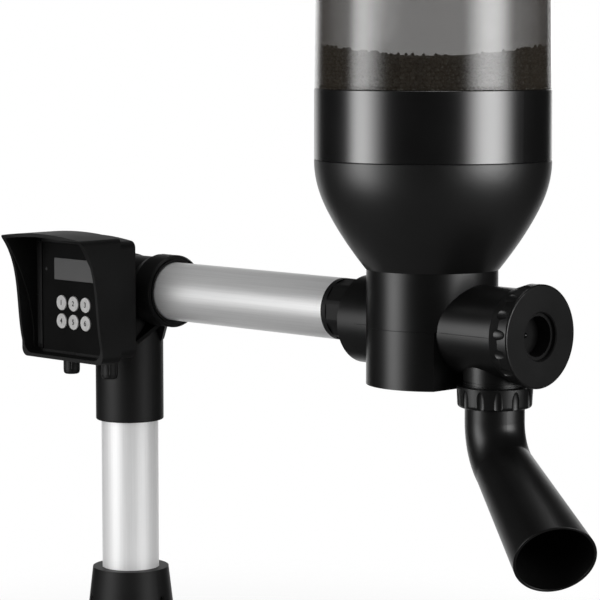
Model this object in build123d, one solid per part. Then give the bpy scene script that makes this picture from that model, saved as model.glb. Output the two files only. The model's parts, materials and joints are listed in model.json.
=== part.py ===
from build123d import *
import math
import os

# Automatic pellet feeder: a post on a round foot, an arm, a smoky hopper over an auger housing,
# a swivelling spout and a hooded controller. Millimetres, +Z up, +X along the arm, -Y the front.
# The origin is the centre of the foot's underside.

# Running clearances
gap_body = 0.3  # between curved faces of pieces that move against each other
gap_fit = 0.2  # between curved faces of pieces fixed to each other
gap_face = 0.1  # between flat faces that slide
gap_shaft = 0.05  # radial, shaft in its bearing
bond_gap = 0.1  # round the barrel where it is bonded into the body

# Pipes
pipe_r = 25.0
pipe_wall = 2.0

# Where the two pipes and the hopper stand
arm_z = 334.0  # height of the arm's axis
reach = 362.0  # post axis to hopper axis
auger_drop = 5.7  # auger axis below the arm's axis

# Foot
foot_r = 80.0
foot_plate = 8.0
foot_edge_fillet = 2.5
cone_top_r = 33.5
cone_foot_r = 42.5
cone_top_z = 85.4
cone_fillet = 6.0
foot_floor = 10.0  # solid under the post
foot_bolt_pcd = 130.0
foot_bolt_r = 3.5
foot_bolt_count = 4
set_screw_r = 3.0
foot_set_z = 60.0
foot_set_count = 3
foot_set_turn = 7.0  # of the first one from +X
set_socket = 1.6  # half the width of its hexagon socket, and its depth

# Elbow fitting
elbow_r = 29.8  # upright
elbow_arm_r = 28.2  # level branch
elbow_drop = 117.0  # below the arm's axis
elbow_mouth_x = 62.4
elbow_lip_r = 31.2
elbow_lip_w = 20.0
elbow_ramp_w = 8.0  # from the branch up to the lip
elbow_edge = 1.4
elbow_groove_r = 29.2  # groove in the mouth's face
elbow_groove_w = 1.4
elbow_groove_deep = 1.5
elbow_recess_r = 26.4  # dark recess round the pipe
elbow_recess_deep = 2.0
elbow_stop = 27.0  # from the corner to each pipe's end
wire_way_r = 20.0
web_t = 4.0
web_x = 46.0  # where the webs leave the branch
web_foot_x = 28.0  # where they end on the upright
web_foot_y = 14.4
web_drop = 46.0  # their foot below the arm's axis
web_tilt = 32.0  # each leans in to the middle, under the branch
web_rise = 20.0  # of the free edge, along the leaning web
web_len = 30.0
elbow_set_depth = 22.0  # of the set screws behind each mouth
pad_w = 42.0
pad_h = 52.0
pad_front = 33.0  # pad face in front of the post axis

# Controller box, its middle at box_x
box_x = 5.2
hood_half = 54.3
hood_low = 58.0  # below the arm's axis
hood_high = 48.0  # above it, at the corners
hood_crown = 4.0
hood_wall = 3.0
hood_rear_y = 60.0
hood_foot_y = 80.8  # front of the hood at its foot
hood_brow_y = 104.0  # front of the hood at its brow
hood_high_y = 94.3  # where its hollow side edge passes
hood_high_z = 33.0
hood_mid_y = 85.0
hood_mid_z = -14.0
hood_edge_z = 45.0  # below the arm's axis, where that edge becomes upright
liner_t = 2.0  # thicker inner wall behind a second hollow edge
liner_brow_y = 102.0
liner_mid_y = 80.5
liner_mid_z = 5.0
liner_foot_y = 71.2
liner_foot_z = 38.0
hood_corner = 7.0
hood_foot_corner = 13.0
box_rear_y = 40.0
box_half = 50.0
box_low = 55.3
box_high = 44.5
box_wall = 2.5
box_corner = 6.0
box_foot_corner = 8.0
lip_t = 2.0
gasket_t = 1.5
gasket_inset = 0.6
gasket_w = 1.5  # past the back shell's wall
cover_front_y = 66.4
cover_plate = 2.5
strip_w = 8.5
strip_t = 1.2
strip_inset = 3.0
strip_gap = 0.8  # between strip and keypad
strip_notch_z = -5.0  # notch across the outer half of each strip
strip_notch_h = 1.0
pip_r = 0.8  # moulded pip below the keypad
pip_drop = 1.1  # below the keypad's lower edge
membrane_t = 0.6
membrane_corner = 2.0
screw_inset = 3.4
screw_foot_inset_x = 5.4  # of the lower two
screw_foot_inset_z = 4.8
cover_screw_bite = 12.0  # into the back shell's bosses
cover_head_t = 1.8
screw_slot_w = 0.8
screw_slot_l = 3.6
screw_slot_t = 0.6
cover_screw_r = 1.5
cover_head_r = 2.4
boss_r = 4.0

# Display and keys
lcd_w = 52.0
lcd_h = 18.6
lcd_z = 18.8
key_r = 6.5
key_pitch_x = 16.0
key_pitch_z = 15.9
key_top_z = -10.3
key_proud = 1.0
key_travel = 0.8
key_flange_r = 7.4
key_flange_t = 1.0
key_stem_r = 1.6
board_y = 53.4  # rear face of the board
board_t = 1.6
board_w = 80.0
board_h = 78.0
board_screw_inset = 4.0
board_screw_bite = 6.0
board_post_r = 3.0
switch_w = 6.0
switch_t = 4.5
switch_nub_r = 1.7
switch_nub_t = 0.9
led_r = 1.4
led_x = -37.0
led_z = 17.8

# Cable glands
gland_x = 25.5
gland_y = 49.0
gland_flange_r = 7.0
gland_flange_t = 4.0
gland_thread_r = 5.2
gland_nut_r = 7.2
gland_nut_tip_r = 6.7
gland_nut_h = 15.0
gland_nut_edge = 2.2
gland_bore_r = 3.2
gland_inner = 6.0  # thread inside the box
gland_seal_h = 7.0
gland_seal_t = 1.2
gland_tip_h = 4.0  # plain tip of the nut below its flutes
gland_flute_r = 1.2
gland_flutes = 6

# Bracket between the controller and the elbow
bracket_w = 58.0
bracket_h = 60.0
bracket_screw_x = 22.0
bracket_screw_z = 18.0
bracket_screw_r = 2.0
bracket_head_r = 3.6
bracket_head_t = 2.4
bracket_pad_bite = 5.0

# Hopper, heights above the arm's axis
collar_r = 92.2
collar_wall = 3.0
collar_low = 123.9
collar_high = 178.6
collar_ledge_t = 2.0  # ledge under the tube's foot
tube_step = 0.2  # tube's foot behind the collar's face
tube_taper = 3.1  # radius lost up to the tube's top
tube_wall = 2.5
tube_foot_rise = 3.0  # inside, from the seam to the full bore
tube_h = 235.0
spigot_h = 12.0
spigot_wall = 2.6
seam_edge = 0.5  # each side of the dark seams above and below the collar
funnel_spigot_h = 4.0  # of the collar, inside the funnel
funnel_mid_r = 80.0
funnel_mid_z = 80.5
funnel_mid_slope = 0.49  # radius lost per height there
funnel_foot_r = 52.2
funnel_foot_slope = 0.79  # radius lost per height at the foot
funnel_wall = 3.0
funnel_flange_t = 4.0
funnel_hole_r = 38.0
funnel_screw_pcd = 87.0
funnel_screw_r = 1.6
funnel_screw_head_r = 3.0
funnel_screw_head_t = 2.0
funnel_screw_bite = 6.0
feed_level = 209.6
feed_dish = 8.0
feed_low = 48.0
feed_gap = 0.4
mound_h = 1.7  # low heaps on the feed's top
mound_w = 20.0
mound_pitch = 22.0
mound_rings = 3

# Lid
lid_skirt = 16.0
lid_t = 3.0
lid_overhang = 1.0  # past the tube's widest
lid_plug_h = 10.0
lid_edge = 2.0
lid_flat_w = 20.0  # flat round the knob
lid_seal_h = 4.0
lid_dome = 6.0
knob_r = 22.0
knob_waist_r = 15.0
knob_h = 24.0
knob_edge = 3.0

# Auger housing, lengths along X from the hopper axis
body_r = 51.4
body_wall = 3.0
body_top = 38.9
body_low = 51.2
body_flat_x = 35.9
barrel_r = 35.0
bore_r = 31.0
barrel_in = 69.8  # towards the post
barrel_out = 103.5  # towards the cap
barrel_end_wall = 3.0
bulkhead_out = 12.0
bulkhead_t = 8.0
chute_top_r = 34.0
chute_top_x = 4.0
chute_low_r = 26.0
chute_low_x = 14.0
chute_low_z = 10.0
cover_t = 2.5
cover_boss_r = 4.0
cover_boss_h = 24.0
cover_boss_angles = (60.0, 120.0, 240.0, 300.0)
bottom_screw_bite = 8.0
bottom_head_t = 1.2

# Arm adapter
adapter_len = 28.6
adapter_plug = 30.0
adapter_bore_r = 15.0
adapter_rib_count = 10
adapter_rib_w = 3.0
adapter_rib_depth = 1.0
adapter_band = 5.0
adapter_thread_r = 20.0
arm_gasket_t = 1.5
arm_gasket_inset = 1.5  # leaves a dark groove
lock_nut_t = 5.5
lock_nut_r = 24.0
lock_nut_notches = 8
lock_nut_notch_r = 1.5

# Drive
gear_r = 18.5
gear_len = 18.0
motor_r = 17.5
motor_len = 20.0
register_r = 6.0
register_len = 5.0
motor_screw_pcd = 31.0
motor_screw_r = 1.5
motor_screw_len = 5.0
motor_head_r = 2.7
motor_head_t = 2.0
shaft_r = 3.0
shaft_in = 10.0
shaft_out = 12.0  # past the hopper's axis, inside the auger's core
auger_r = 29.5
auger_core_r = 8.0
auger_pitch = 30.0
auger_blade = 2.6
auger_blade_end = 66.0
journal_r = 5.0
bush_wall = 2.0
bush_len = 8.0

# End plug and cap nut
cap_face_x = 110.9
cap_nut_len = 20.0
cap_nut_r = 39.6
cap_nut_rear_r = 36.2
cap_nut_taper = 11.0  # from the rear to the full radius
cap_edge = 1.5
cap_lip = 3.4
cap_hole_r = 18.2
cap_hole_edge = 0.8
end_seal_t = 1.2
plug_flange_r = 34.6
plug_wall = 2.6
plug_deep = 13.8  # from the seal's face to the disc's inner face
plug_recess_r = 15.5
plug_disc = 4.0
plug_nub_r = 2.2  # moulding nub in the middle of the disc
cap_scallops = 16
cap_scallop_turn = -5.7
cap_scallop_w = 8.0
cap_scallop_len = 16.5
cap_scallop_depth = 1.8

# Outlet
outlet_x = 65.7
stub_r = 24.4
stub_bore_r = 20.4
stub_thread_r = 26.3
stub_thread_h = 6.5
stub_end = 54.0
stub_groove = 0.8
stub_groove_w = 1.0
stub_groove_rises = (1.6, 3.6)  # above the nut's top
outlet_nut_top = 46.5
outlet_nut_low = 63.2
outlet_nut_r = 29.4
outlet_nut_foot_r = 28.6
outlet_nut_lip = 3.4
outlet_nut_edge = 3.0
outlet_flutes = 13
outlet_flute_turn = 12.0
outlet_flute_w = 7.0
outlet_flute_half = 10.5
outlet_flute_rise = 4.5
outlet_flute_depth = 1.5
outlet_seal_t = 1.5

# Spout
spout_r = 23.0
spout_wall = 2.2
spout_flange_t = 4.0
spout_turn = 60.0
spout_bend_r = 40.0
spout_corner = 97.0
spout_reach = 128.0
spout_mouth_r = 31.2
spout_mouth_turn = 8.0  # of the mouth's face, back towards the front
spout_rim_edge = 0.6
spout_heading = 25.0  # from +X towards the front

# Worked out from the above
auger_z = arm_z - auger_drop
tube_r = collar_r - tube_step
tube_top_r = tube_r - tube_taper
lid_rim_r = tube_r + lid_overhang
spigot_r = collar_r - collar_wall - gap_fit
spigot_in_r = spigot_r - spigot_wall
funnel_spigot_r = collar_r - funnel_wall - gap_fit
socket_r = pipe_r + gap_fit
plate_back_y = cover_front_y - cover_plate
gasket_back_y = hood_rear_y + lip_t
gasket_front_y = gasket_back_y + gasket_t
board_front_y = board_y + board_t


def rod_z(radius, low, high, x=0.0, y=0.0):
    return Pos(x, y, (low + high) / 2) * Cylinder(radius, high - low)


def rod_x(radius, low, high, y=0.0, z=0.0):
    return Pos((low + high) / 2, y, z) * Rot(0, 90, 0) * Cylinder(radius, high - low)


def rod_y(radius, low, high, x=0.0, z=0.0):
    return Pos(x, (low + high) / 2, z) * Rot(90, 0, 0) * Cylinder(radius, high - low)


def slab(x0, x1, y0, y1, z0, z1):
    middle = Pos((x0 + x1) / 2, (y0 + y1) / 2, (z0 + z1) / 2)
    return middle * Box(x1 - x0, y1 - y0, z1 - z0)


def turned(points, x=0.0):
    """A solid of revolution about the vertical at x, from (radius, height) corners."""
    face = Plane.XZ * make_face(Polyline(*points, close=True))
    return Pos(x, 0, 0) * revolve(face, Axis.Z)


def laid(points, x=0.0, z=0.0):
    """The same about the X axis at height z, from (radius, distance along X) corners."""
    return Pos(x, 0, z) * Rot(0, 90, 0) * turned(points)


def group(pieces):
    return Compound(children=list(pieces))


# Stand
def foot_set_angles():
    return [foot_set_turn + i * 360 / foot_set_count for i in range(foot_set_count)]


def foot_set_hole(angle, radius, outer):
    return Rot(0, 0, angle) * rod_x(radius, pipe_r, outer, z=foot_set_z)


def foot_flange():
    plate = rod_z(foot_r, 0, foot_plate)
    plate = fillet(plate.edges().group_by(Axis.Z)[-1], foot_edge_fillet)
    cone_h = cone_top_z - foot_plate
    cone = Pos(0, 0, foot_plate + cone_h / 2) * Cone(cone_foot_r, cone_top_r, cone_h)
    foot = plate + cone
    root = foot.edges().filter_by(GeomType.CIRCLE).filter_by(
        lambda e: abs(e.center().Z - foot_plate) < 0.01 and abs(e.radius - cone_foot_r) < 0.01
    )
    foot = fillet(root, cone_fillet)
    foot -= rod_z(socket_r, foot_floor, cone_top_z + 1)
    for i in range(foot_bolt_count):
        turn = Rot(0, 0, 45 + i * 360 / foot_bolt_count)
        foot -= turn * rod_z(foot_bolt_r, -1, foot_plate + 1, x=foot_bolt_pcd / 2)
    for angle in foot_set_angles():
        foot -= foot_set_hole(angle, set_screw_r + gap_fit, cone_foot_r + 5)
    return foot


def cone_r(z):
    share = (z - foot_plate) / (cone_top_z - foot_plate)
    return cone_foot_r + share * (cone_top_r - cone_foot_r)


def set_screw(place, x0, x1):
    """A set screw along X at a place, with a hexagon socket in its outer end."""
    hexagon = Plane.YZ.offset(x1 - set_socket) * RegularPolygon(set_socket, 6, major_radius=False)
    socket = extrude(hexagon, amount=2 * set_socket)
    return place * (rod_x(set_screw_r, x0, x1) - socket)


def foot_set_screws():
    tip = cone_r(foot_set_z) - 0.5
    places = [Rot(0, 0, a) * Pos(0, 0, foot_set_z) for a in foot_set_angles()]
    return group(set_screw(place, pipe_r, tip) for place in places)


def post_tube():
    top = arm_z - elbow_stop
    return rod_z(pipe_r, foot_floor, top) - rod_z(pipe_r - pipe_wall, foot_floor, top)


def arm_tube_end():
    return reach - barrel_in - adapter_len


def arm_tube():
    end = arm_tube_end()
    tube = rod_x(pipe_r, elbow_stop, end, z=arm_z)
    return tube - rod_x(pipe_r - pipe_wall, elbow_stop, end, z=arm_z)


def elbow_screw_places():
    """Two set screws behind each mouth: on the rear and on the hidden far side."""
    post_z = arm_z - elbow_drop + elbow_set_depth
    arm_x = elbow_mouth_x - elbow_set_depth
    return [
        Pos(0, 0, post_z) * Rot(0, 0, 90),
        Pos(0, 0, post_z) * Rot(0, 0, 180),
        Pos(arm_x, 0, arm_z) * Rot(0, 0, 90),
        Pos(arm_x, 0, arm_z) * Rot(0, -90, 0),
    ]


def elbow_branch():
    """The level branch with its wide mouth: a ramp, a lip and a groove in the lip's face."""
    branch = laid(
        [
            (0, 0),
            (elbow_arm_r, 0),
            (elbow_arm_r, elbow_mouth_x - elbow_lip_w - elbow_ramp_w),
            (elbow_lip_r, elbow_mouth_x - elbow_lip_w),
            (elbow_lip_r, elbow_mouth_x - elbow_edge),
            (elbow_lip_r - elbow_edge, elbow_mouth_x),
            (0, elbow_mouth_x),
        ],
        z=arm_z,
    )
    groove = rod_x(elbow_groove_r, elbow_mouth_x - elbow_groove_deep, elbow_mouth_x + 1, z=arm_z)
    groove -= rod_x(elbow_groove_r - elbow_groove_w, elbow_arm_r, elbow_mouth_x + 2, z=arm_z)
    recess = rod_x(elbow_recess_r, elbow_mouth_x - elbow_recess_deep, elbow_mouth_x + 1, z=arm_z)
    return branch - groove - recess


def elbow_web(side):
    """A web from the upright up to the branch, leaning in to the middle."""
    corners = [(0, 0), (web_foot_x, 0), (web_x, web_rise), (web_x, web_len), (0, web_len)]
    plate = extrude(Plane.XZ * make_face(Polyline(*corners, close=True)), amount=web_t / 2, both=True)
    return Pos(0, side * web_foot_y, arm_z - web_drop) * Rot(side * web_tilt, 0, 0) * plate


def elbow_fitting():
    low = arm_z - elbow_drop
    upright = rod_z(elbow_r, low, arm_z)
    upright = fillet(upright.edges().group_by(Axis.Z)[0], elbow_edge)
    elbow = upright + elbow_branch() + Pos(0, 0, arm_z) * Sphere(elbow_r)
    for side in (-1, 1):
        elbow += elbow_web(side)
    pad = slab(box_x - pad_w / 2, box_x + pad_w / 2, -pad_front, 0, arm_z - pad_h * 0.7, arm_z + pad_h * 0.3)
    elbow += pad
    elbow -= rod_z(socket_r, low - 1, arm_z - elbow_stop)
    elbow -= rod_x(socket_r, elbow_stop, elbow_mouth_x + 1, z=arm_z)
    elbow -= rod_z(wire_way_r, arm_z - elbow_stop - 1, arm_z)
    elbow -= rod_x(wire_way_r, 0, elbow_stop + 1, z=arm_z)
    elbow -= Pos(0, 0, arm_z) * Sphere(wire_way_r)
    for place in elbow_screw_places():
        elbow -= place * rod_x(set_screw_r + gap_fit, pipe_r, elbow_lip_r + 1)
    for x, z in bracket_pad_points():
        elbow -= rod_y(bracket_screw_r + gap_fit, -pad_front - 1, -pad_front + bracket_pad_bite + 1, x=x, z=z)
    return elbow


def elbow_set_screws():
    return group(set_screw(p, pipe_r, elbow_arm_r - 0.3) for p in elbow_screw_places())


# Controller
def outline(half, low, high, crown, corner, foot_corner):
    """The controller's front outline in X and Z: a crowned top and rounded corners."""
    top = ThreePointArc((half, high), (0, high + crown), (-half, high))
    sides = Polyline((-half, high), (-half, -low), (half, -low), (half, high))
    face = make_face([top, sides])
    face = fillet(face.vertices().group_by(Axis.Y)[-1], corner)
    face = fillet(face.vertices().group_by(Axis.Y)[0], foot_corner)
    return Pos(box_x, 0, arm_z) * (Plane.XZ * face)


def front_block(y0, y1, half, low, high, corner, foot_corner):
    """That outline carried from y0 to y1 in front of the post (distances towards the front)."""
    face = outline(half, low, high, hood_crown, corner, foot_corner)
    return Pos(0, -y0, 0) * extrude(face, amount=y1 - y0)


def box_block(y0, y1, wall):
    """The back shell's outer form drawn in by a wall."""
    corner = box_corner - min(wall, box_corner / 2)
    foot_corner = box_foot_corner - wall
    return front_block(y0, y1, box_half - wall, box_low - wall, box_high - wall, corner, foot_corner)


def inset_block(y0, y1, wall):
    """The hood's outer form drawn in by a wall."""
    half, low, high = hood_half - wall, hood_low - wall, hood_high - wall
    return front_block(y0, y1, half, low, high, max(hood_corner - wall, 1.0), hood_foot_corner - wall)


def cover_screw_points():
    foot = (box_half - screw_foot_inset_x, -box_low + screw_foot_inset_z)
    head = (box_half - screw_inset, box_high - screw_inset)
    return [(box_x + side * dx, arm_z + z) for side in (-1, 1) for dx, z in (foot, head)]


def controller_back():
    shell = box_block(box_rear_y, hood_rear_y, 0.0)
    back = shell - box_block(box_rear_y + box_wall, hood_rear_y + 1, box_wall)
    inner_y = -(box_rear_y + box_wall / 2)
    for x, z in cover_screw_points():
        back += rod_y(boss_r, -hood_rear_y, inner_y, x=x, z=z)
    for x, z in board_points():
        back += rod_y(board_post_r, -board_y, inner_y, x=x, z=z)
    back &= shell
    for x, z in cover_screw_points():
        hole_end = -hood_rear_y + cover_screw_bite + 2
        back -= rod_y(cover_screw_r + gap_fit, -hood_rear_y - 1, hole_end, x=x, z=z)
    for x, z in board_points():
        back -= rod_y(cover_screw_r + gap_fit, -board_y - 1, -board_y + board_screw_bite + 1, x=x, z=z)
    for x, z in bracket_box_points():
        back -= rod_y(bracket_screw_r + gap_fit, -box_rear_y - box_wall - 1, -box_rear_y + 1, x=x, z=z)
    floor_z = arm_z - box_low
    for x in gland_xs():
        back -= rod_z(gland_thread_r + gap_fit, floor_z - 1, floor_z + box_wall + 1, x=x, y=-gland_y)
    return back


def controller_gasket():
    ring = box_block(gasket_back_y, gasket_front_y, gasket_inset)
    ring -= inset_gasket_hole(gasket_back_y - 1, gasket_front_y + 1)
    for x, z in cover_screw_points():
        ring -= rod_y(cover_screw_r + gap_fit, -gasket_front_y - 1, -gasket_back_y + 1, x=x, z=z)
    return ring


def inset_gasket_hole(y0, y1):
    """The opening through gasket and hood lip, with the screw corners left in."""
    hole = box_block(y0, y1, box_wall + gasket_w)
    for x, z in cover_screw_points():
        hole -= rod_y(boss_r, -y1 - 1, -y0 + 1, x=x, z=z)
    return hole


def ahead_of_edge(*edge):
    """Everything ahead of a hollow side edge, given from brow to foot as (distance, height) points."""
    top = arm_z + hood_high + 2 * hood_crown
    low = arm_z - hood_low - 5
    far = -2 * hood_brow_y
    points = [(-y, arm_z + z) for y, z in edge]
    brow, foot = points[0], points[-1]
    rest = Polyline(foot, (foot[0], low), (far, low), (far, top), (brow[0], top), brow)
    face = Plane.YZ * make_face([Spline(*points), rest])
    return Pos(box_x - hood_half - 5, 0, 0) * extrude(face, amount=2 * hood_half + 10)


def hood_liner():
    """The thicker inner side walls, behind their own hollow edge."""
    half = hood_half - hood_wall
    front = inset_block(cover_front_y + strip_t + gap_fit, liner_brow_y, hood_wall)
    front -= Pos(box_x, -hood_brow_y / 2, arm_z) * Box(2 * (half - liner_t), 2 * hood_brow_y, 3 * hood_low)
    return front - ahead_of_edge(
        (liner_brow_y, box_high), (liner_mid_y, liner_mid_z), (liner_foot_y, -liner_foot_z)
    )


def controller_hood():
    block = front_block(hood_rear_y, hood_brow_y, hood_half, hood_low, hood_high, hood_crown, hood_corner)
    inside = inset_block(gasket_back_y, hood_brow_y + 1, hood_wall)
    hood = block - inside
    hood -= inset_gasket_hole(hood_rear_y - 1, gasket_back_y + 1)
    hood += hood_liner()
    hood -= ahead_of_edge(
        (hood_brow_y, hood_high),
        (hood_high_y, hood_high_z),
        (hood_mid_y, hood_mid_z),
        (hood_foot_y, -hood_edge_z),
    )
    for x, z in cover_screw_points():
        hood -= rod_y(cover_screw_r + gap_fit, -gasket_back_y - 1, -hood_rear_y + 1, x=x, z=z)
    return hood


def key_points():
    xs = [box_x + (i - 1) * key_pitch_x for i in range(3)]
    zs = [arm_z + key_top_z - j * key_pitch_z for j in range(2)]
    return [(x, z) for z in zs for x in xs]


def lcd_slab(y0, y1, grow):
    w, h = lcd_w / 2 + grow, lcd_h / 2 + grow
    return slab(box_x - w, box_x + w, -y1, -y0, arm_z + lcd_z - h, arm_z + lcd_z + h)


def strip_span():
    """Lowest and highest point of the raised strips and of the keypad between them."""
    return arm_z - box_low + strip_inset, arm_z + box_high - strip_inset


def controller_cover():
    wall = hood_wall + gap_fit
    tray = inset_block(gasket_front_y, cover_front_y, wall)
    tray -= inset_block(gasket_front_y - 1, plate_back_y, wall + box_wall)
    for x, z in cover_screw_points():
        tray += rod_y(boss_r, -plate_back_y, -gasket_front_y, x=x, z=z)
    half = hood_half - wall
    z0, z1 = strip_span()
    for side in (-1, 1):
        x0, x1 = sorted((box_x + side * half, box_x + side * (half - strip_w)))
        tray += slab(x0, x1, -cover_front_y - strip_t, -cover_front_y, z0, z1)
        notch = Pos(box_x + side * half, -cover_front_y - strip_t, arm_z + strip_notch_z)
        tray -= notch * Box(strip_w, 2 * strip_t, strip_notch_h)
    pip_front = cover_front_y + membrane_t
    tray += rod_y(pip_r, -pip_front, -cover_front_y, x=box_x, z=z0 - pip_drop)
    tray &= inset_block(gasket_front_y, cover_front_y + strip_t, wall)
    tray -= lcd_slab(plate_back_y - 1, cover_front_y + 1, gap_fit)
    for x, z in key_points():
        tray -= rod_y(key_r + gap_body, -cover_front_y - 1, -plate_back_y + 1, x=x, z=z)
    tray -= rod_y(led_r + gap_fit, -cover_front_y - 1, -plate_back_y + 1, x=box_x + led_x, z=arm_z + led_z)
    for x, z in cover_screw_points():
        front = cover_front_y + strip_t
        tray -= rod_y(cover_screw_r + gap_fit, -front - 1, -gasket_front_y + 1, x=x, z=z)
        tray -= rod_y(cover_head_r + gap_fit, -front - 1, -front + cover_head_t, x=x, z=z)
    return tray


def cover_screws():
    screws = []
    for x, z in cover_screw_points():
        front = cover_front_y + strip_t
        screw = rod_y(cover_screw_r, -cover_front_y, -hood_rear_y + cover_screw_bite, x=x, z=z)
        screw += rod_y(cover_head_r, -front, -front + cover_head_t, x=x, z=z)
        screw -= Pos(x, -front, z) * Box(screw_slot_l, 2 * screw_slot_t, screw_slot_w)
        screw -= Pos(x, -front, z) * Box(screw_slot_w, 2 * screw_slot_t, screw_slot_l)
        screws.append(screw)
    return group(screws)


def keypad_panel():
    half = hood_half - hood_wall - gap_fit - strip_w - strip_gap
    front = cover_front_y + membrane_t
    z0, z1 = strip_span()
    sheet = slab(box_x - half, box_x + half, -front, -cover_front_y, z0, z1)
    sheet = fillet(sheet.edges().filter_by(Axis.Y), membrane_corner)
    sheet -= lcd_slab(cover_front_y - 1, front + 1, gap_fit)
    for x, z in key_points():
        sheet -= rod_y(key_r + gap_body, -front - 1, -cover_front_y + 1, x=x, z=z)
    sheet -= rod_y(led_r + gap_fit, -front - 1, -cover_front_y + 1, x=box_x + led_x, z=arm_z + led_z)
    return sheet


def lcd_window():
    return lcd_slab(plate_back_y, cover_front_y + membrane_t, 0.0)


def lcd_module():
    return lcd_slab(board_front_y, plate_back_y, 3.5)


def status_led():
    return rod_y(led_r, -cover_front_y - membrane_t, -board_front_y, x=box_x + led_x, z=arm_z + led_z)


def button(x, z):
    front = cover_front_y + membrane_t + key_proud
    cap = rod_y(key_r, -front, -plate_back_y, x=x, z=z)
    cap = fillet(cap.edges().group_by(Axis.Y)[0], 0.6)
    flange_back = plate_back_y - gap_face - key_flange_t
    key = cap + rod_y(key_r - 0.5, -plate_back_y - 0.5, -flange_back - 0.2, x=x, z=z)
    key += rod_y(key_flange_r, -plate_back_y + gap_face, -flange_back, x=x, z=z)
    stem_end = board_front_y + switch_t + switch_nub_t + key_travel + gap_face
    return key + rod_y(key_stem_r, -flange_back - 0.2, -stem_end, x=x, z=z)


def tact_switches():
    switches = []
    for x, z in key_points():
        h = switch_w / 2
        body = slab(x - h, x + h, -board_front_y - switch_t, -board_front_y, z - h, z + h)
        nub_front = board_front_y + switch_t + switch_nub_t
        switches.append(body + rod_y(switch_nub_r, -nub_front, -board_front_y - 1, x=x, z=z))
    return group(switches)


def board_points():
    dx, dz = board_w / 2 - board_screw_inset, board_h / 2 - board_screw_inset
    return [(box_x + sx * dx, board_mid_z() + sz * dz) for sx in (-1, 1) for sz in (-1, 1)]


def board_mid_z():
    return arm_z + (box_high - box_low) / 2


def circuit_board():
    z0 = board_mid_z() - board_h / 2
    board = slab(box_x - board_w / 2, box_x + board_w / 2, -board_front_y, -board_y, z0, z0 + board_h)
    for x, z in board_points():
        board -= rod_y(cover_screw_r + gap_fit, -board_front_y - 1, -board_y + 1, x=x, z=z)
    return board


def board_screws():
    screws = []
    for x, z in board_points():
        screw = rod_y(cover_screw_r, -board_front_y, -board_y + board_screw_bite, x=x, z=z)
        screws.append(screw + rod_y(cover_head_r, -board_front_y - cover_head_t, -board_front_y, x=x, z=z))
    return group(screws)


def bracket_box_points():
    """Screws from the box into the bracket."""
    dx, dz = bracket_screw_x, bracket_screw_z
    return [(box_x + sx * dx, board_mid_z() + sz * dz) for sx in (-1, 1) for sz in (-1, 1)]


def bracket_pad_points():
    """Screws from the bracket into the elbow's pad."""
    return [(box_x + s * pad_w * 0.3, arm_z - pad_h * 0.2) for s in (-1, 1)]


def controller_bracket():
    mid = board_mid_z()
    x0, x1 = box_x - bracket_w / 2, box_x + bracket_w / 2
    plate = slab(x0, x1, -box_rear_y, -pad_front, mid - bracket_h / 2, mid + bracket_h / 2)
    plate = fillet(plate.edges().filter_by(Axis.Y), 5.0)
    for x, z in bracket_box_points():
        plate -= rod_y(bracket_screw_r + gap_fit, -box_rear_y - 1, -pad_front + 1, x=x, z=z)
    for x, z in bracket_pad_points():
        plate -= rod_y(bracket_screw_r + gap_fit, -box_rear_y - 1, -pad_front + 1, x=x, z=z)
        plate -= rod_y(bracket_head_r + gap_fit, -box_rear_y - 1, -box_rear_y + bracket_head_t, x=x, z=z)
    return plate


def bracket_screws():
    screws = []
    inside = -box_rear_y - box_wall
    for x, z in bracket_box_points():
        screw = rod_y(bracket_screw_r, inside, -pad_front - gap_body, x=x, z=z)
        screws.append(screw + rod_y(bracket_head_r, inside - bracket_head_t, inside, x=x, z=z))
    for x, z in bracket_pad_points():
        screw = rod_y(bracket_screw_r, -box_rear_y + bracket_head_t, -pad_front + bracket_pad_bite, x=x, z=z)
        screws.append(screw + rod_y(bracket_head_r, -box_rear_y, -box_rear_y + bracket_head_t, x=x, z=z))
    return group(screws)


def gland_xs():
    return [box_x - gland_x, box_x + gland_x]


def gland_body(x):
    wall_z = arm_z - box_low
    foot_z = wall_z - gland_flange_t - gland_seal_h
    body = rod_z(gland_flange_r, wall_z - gland_flange_t, wall_z, x=x, y=-gland_y)
    body += rod_z(gland_thread_r, foot_z, wall_z + gland_inner, x=x, y=-gland_y)
    return body - rod_z(gland_bore_r + gland_seal_t, foot_z - 1, wall_z + gland_inner + 1, x=x, y=-gland_y)


def gland_bodies():
    return group(gland_body(x) for x in gland_xs())


def gland_seals():
    wall_z = arm_z - box_low
    seals = []
    for x in gland_xs():
        low = wall_z - gland_flange_t - gland_seal_h
        seal = rod_z(gland_bore_r + gland_seal_t, low, low + gland_seal_h, x=x, y=-gland_y)
        seals.append(seal - rod_z(gland_bore_r, low - 1, low + gland_seal_h + 1, x=x, y=-gland_y))
    return group(seals)


def gland_nut(x):
    top = arm_z - box_low - gland_flange_t - gap_face
    inner_low = arm_z - box_low - gland_flange_t - gland_seal_h - gap_face
    low = top - gland_nut_h
    knee = low + gland_tip_h
    nut = turned([(0, low), (gland_nut_tip_r, low), (gland_nut_r, knee), (gland_nut_r, top), (0, top)])
    nut = fillet(nut.edges().group_by(Axis.Z)[0], gland_nut_edge)
    nut -= rod_z(gland_thread_r + gap_body, inner_low, top + 1)
    nut -= rod_z(gland_bore_r + gland_seal_t - gap_fit, low - 1, inner_low + 1)
    for i in range(gland_flutes):
        turn = Rot(0, 0, (i + 0.25) * 360 / gland_flutes)
        nut -= turn * rod_z(gland_flute_r, knee, top + 1, x=gland_nut_r + gland_flute_r / 2)
    return Pos(x, -gland_y, 0) * nut


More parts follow.
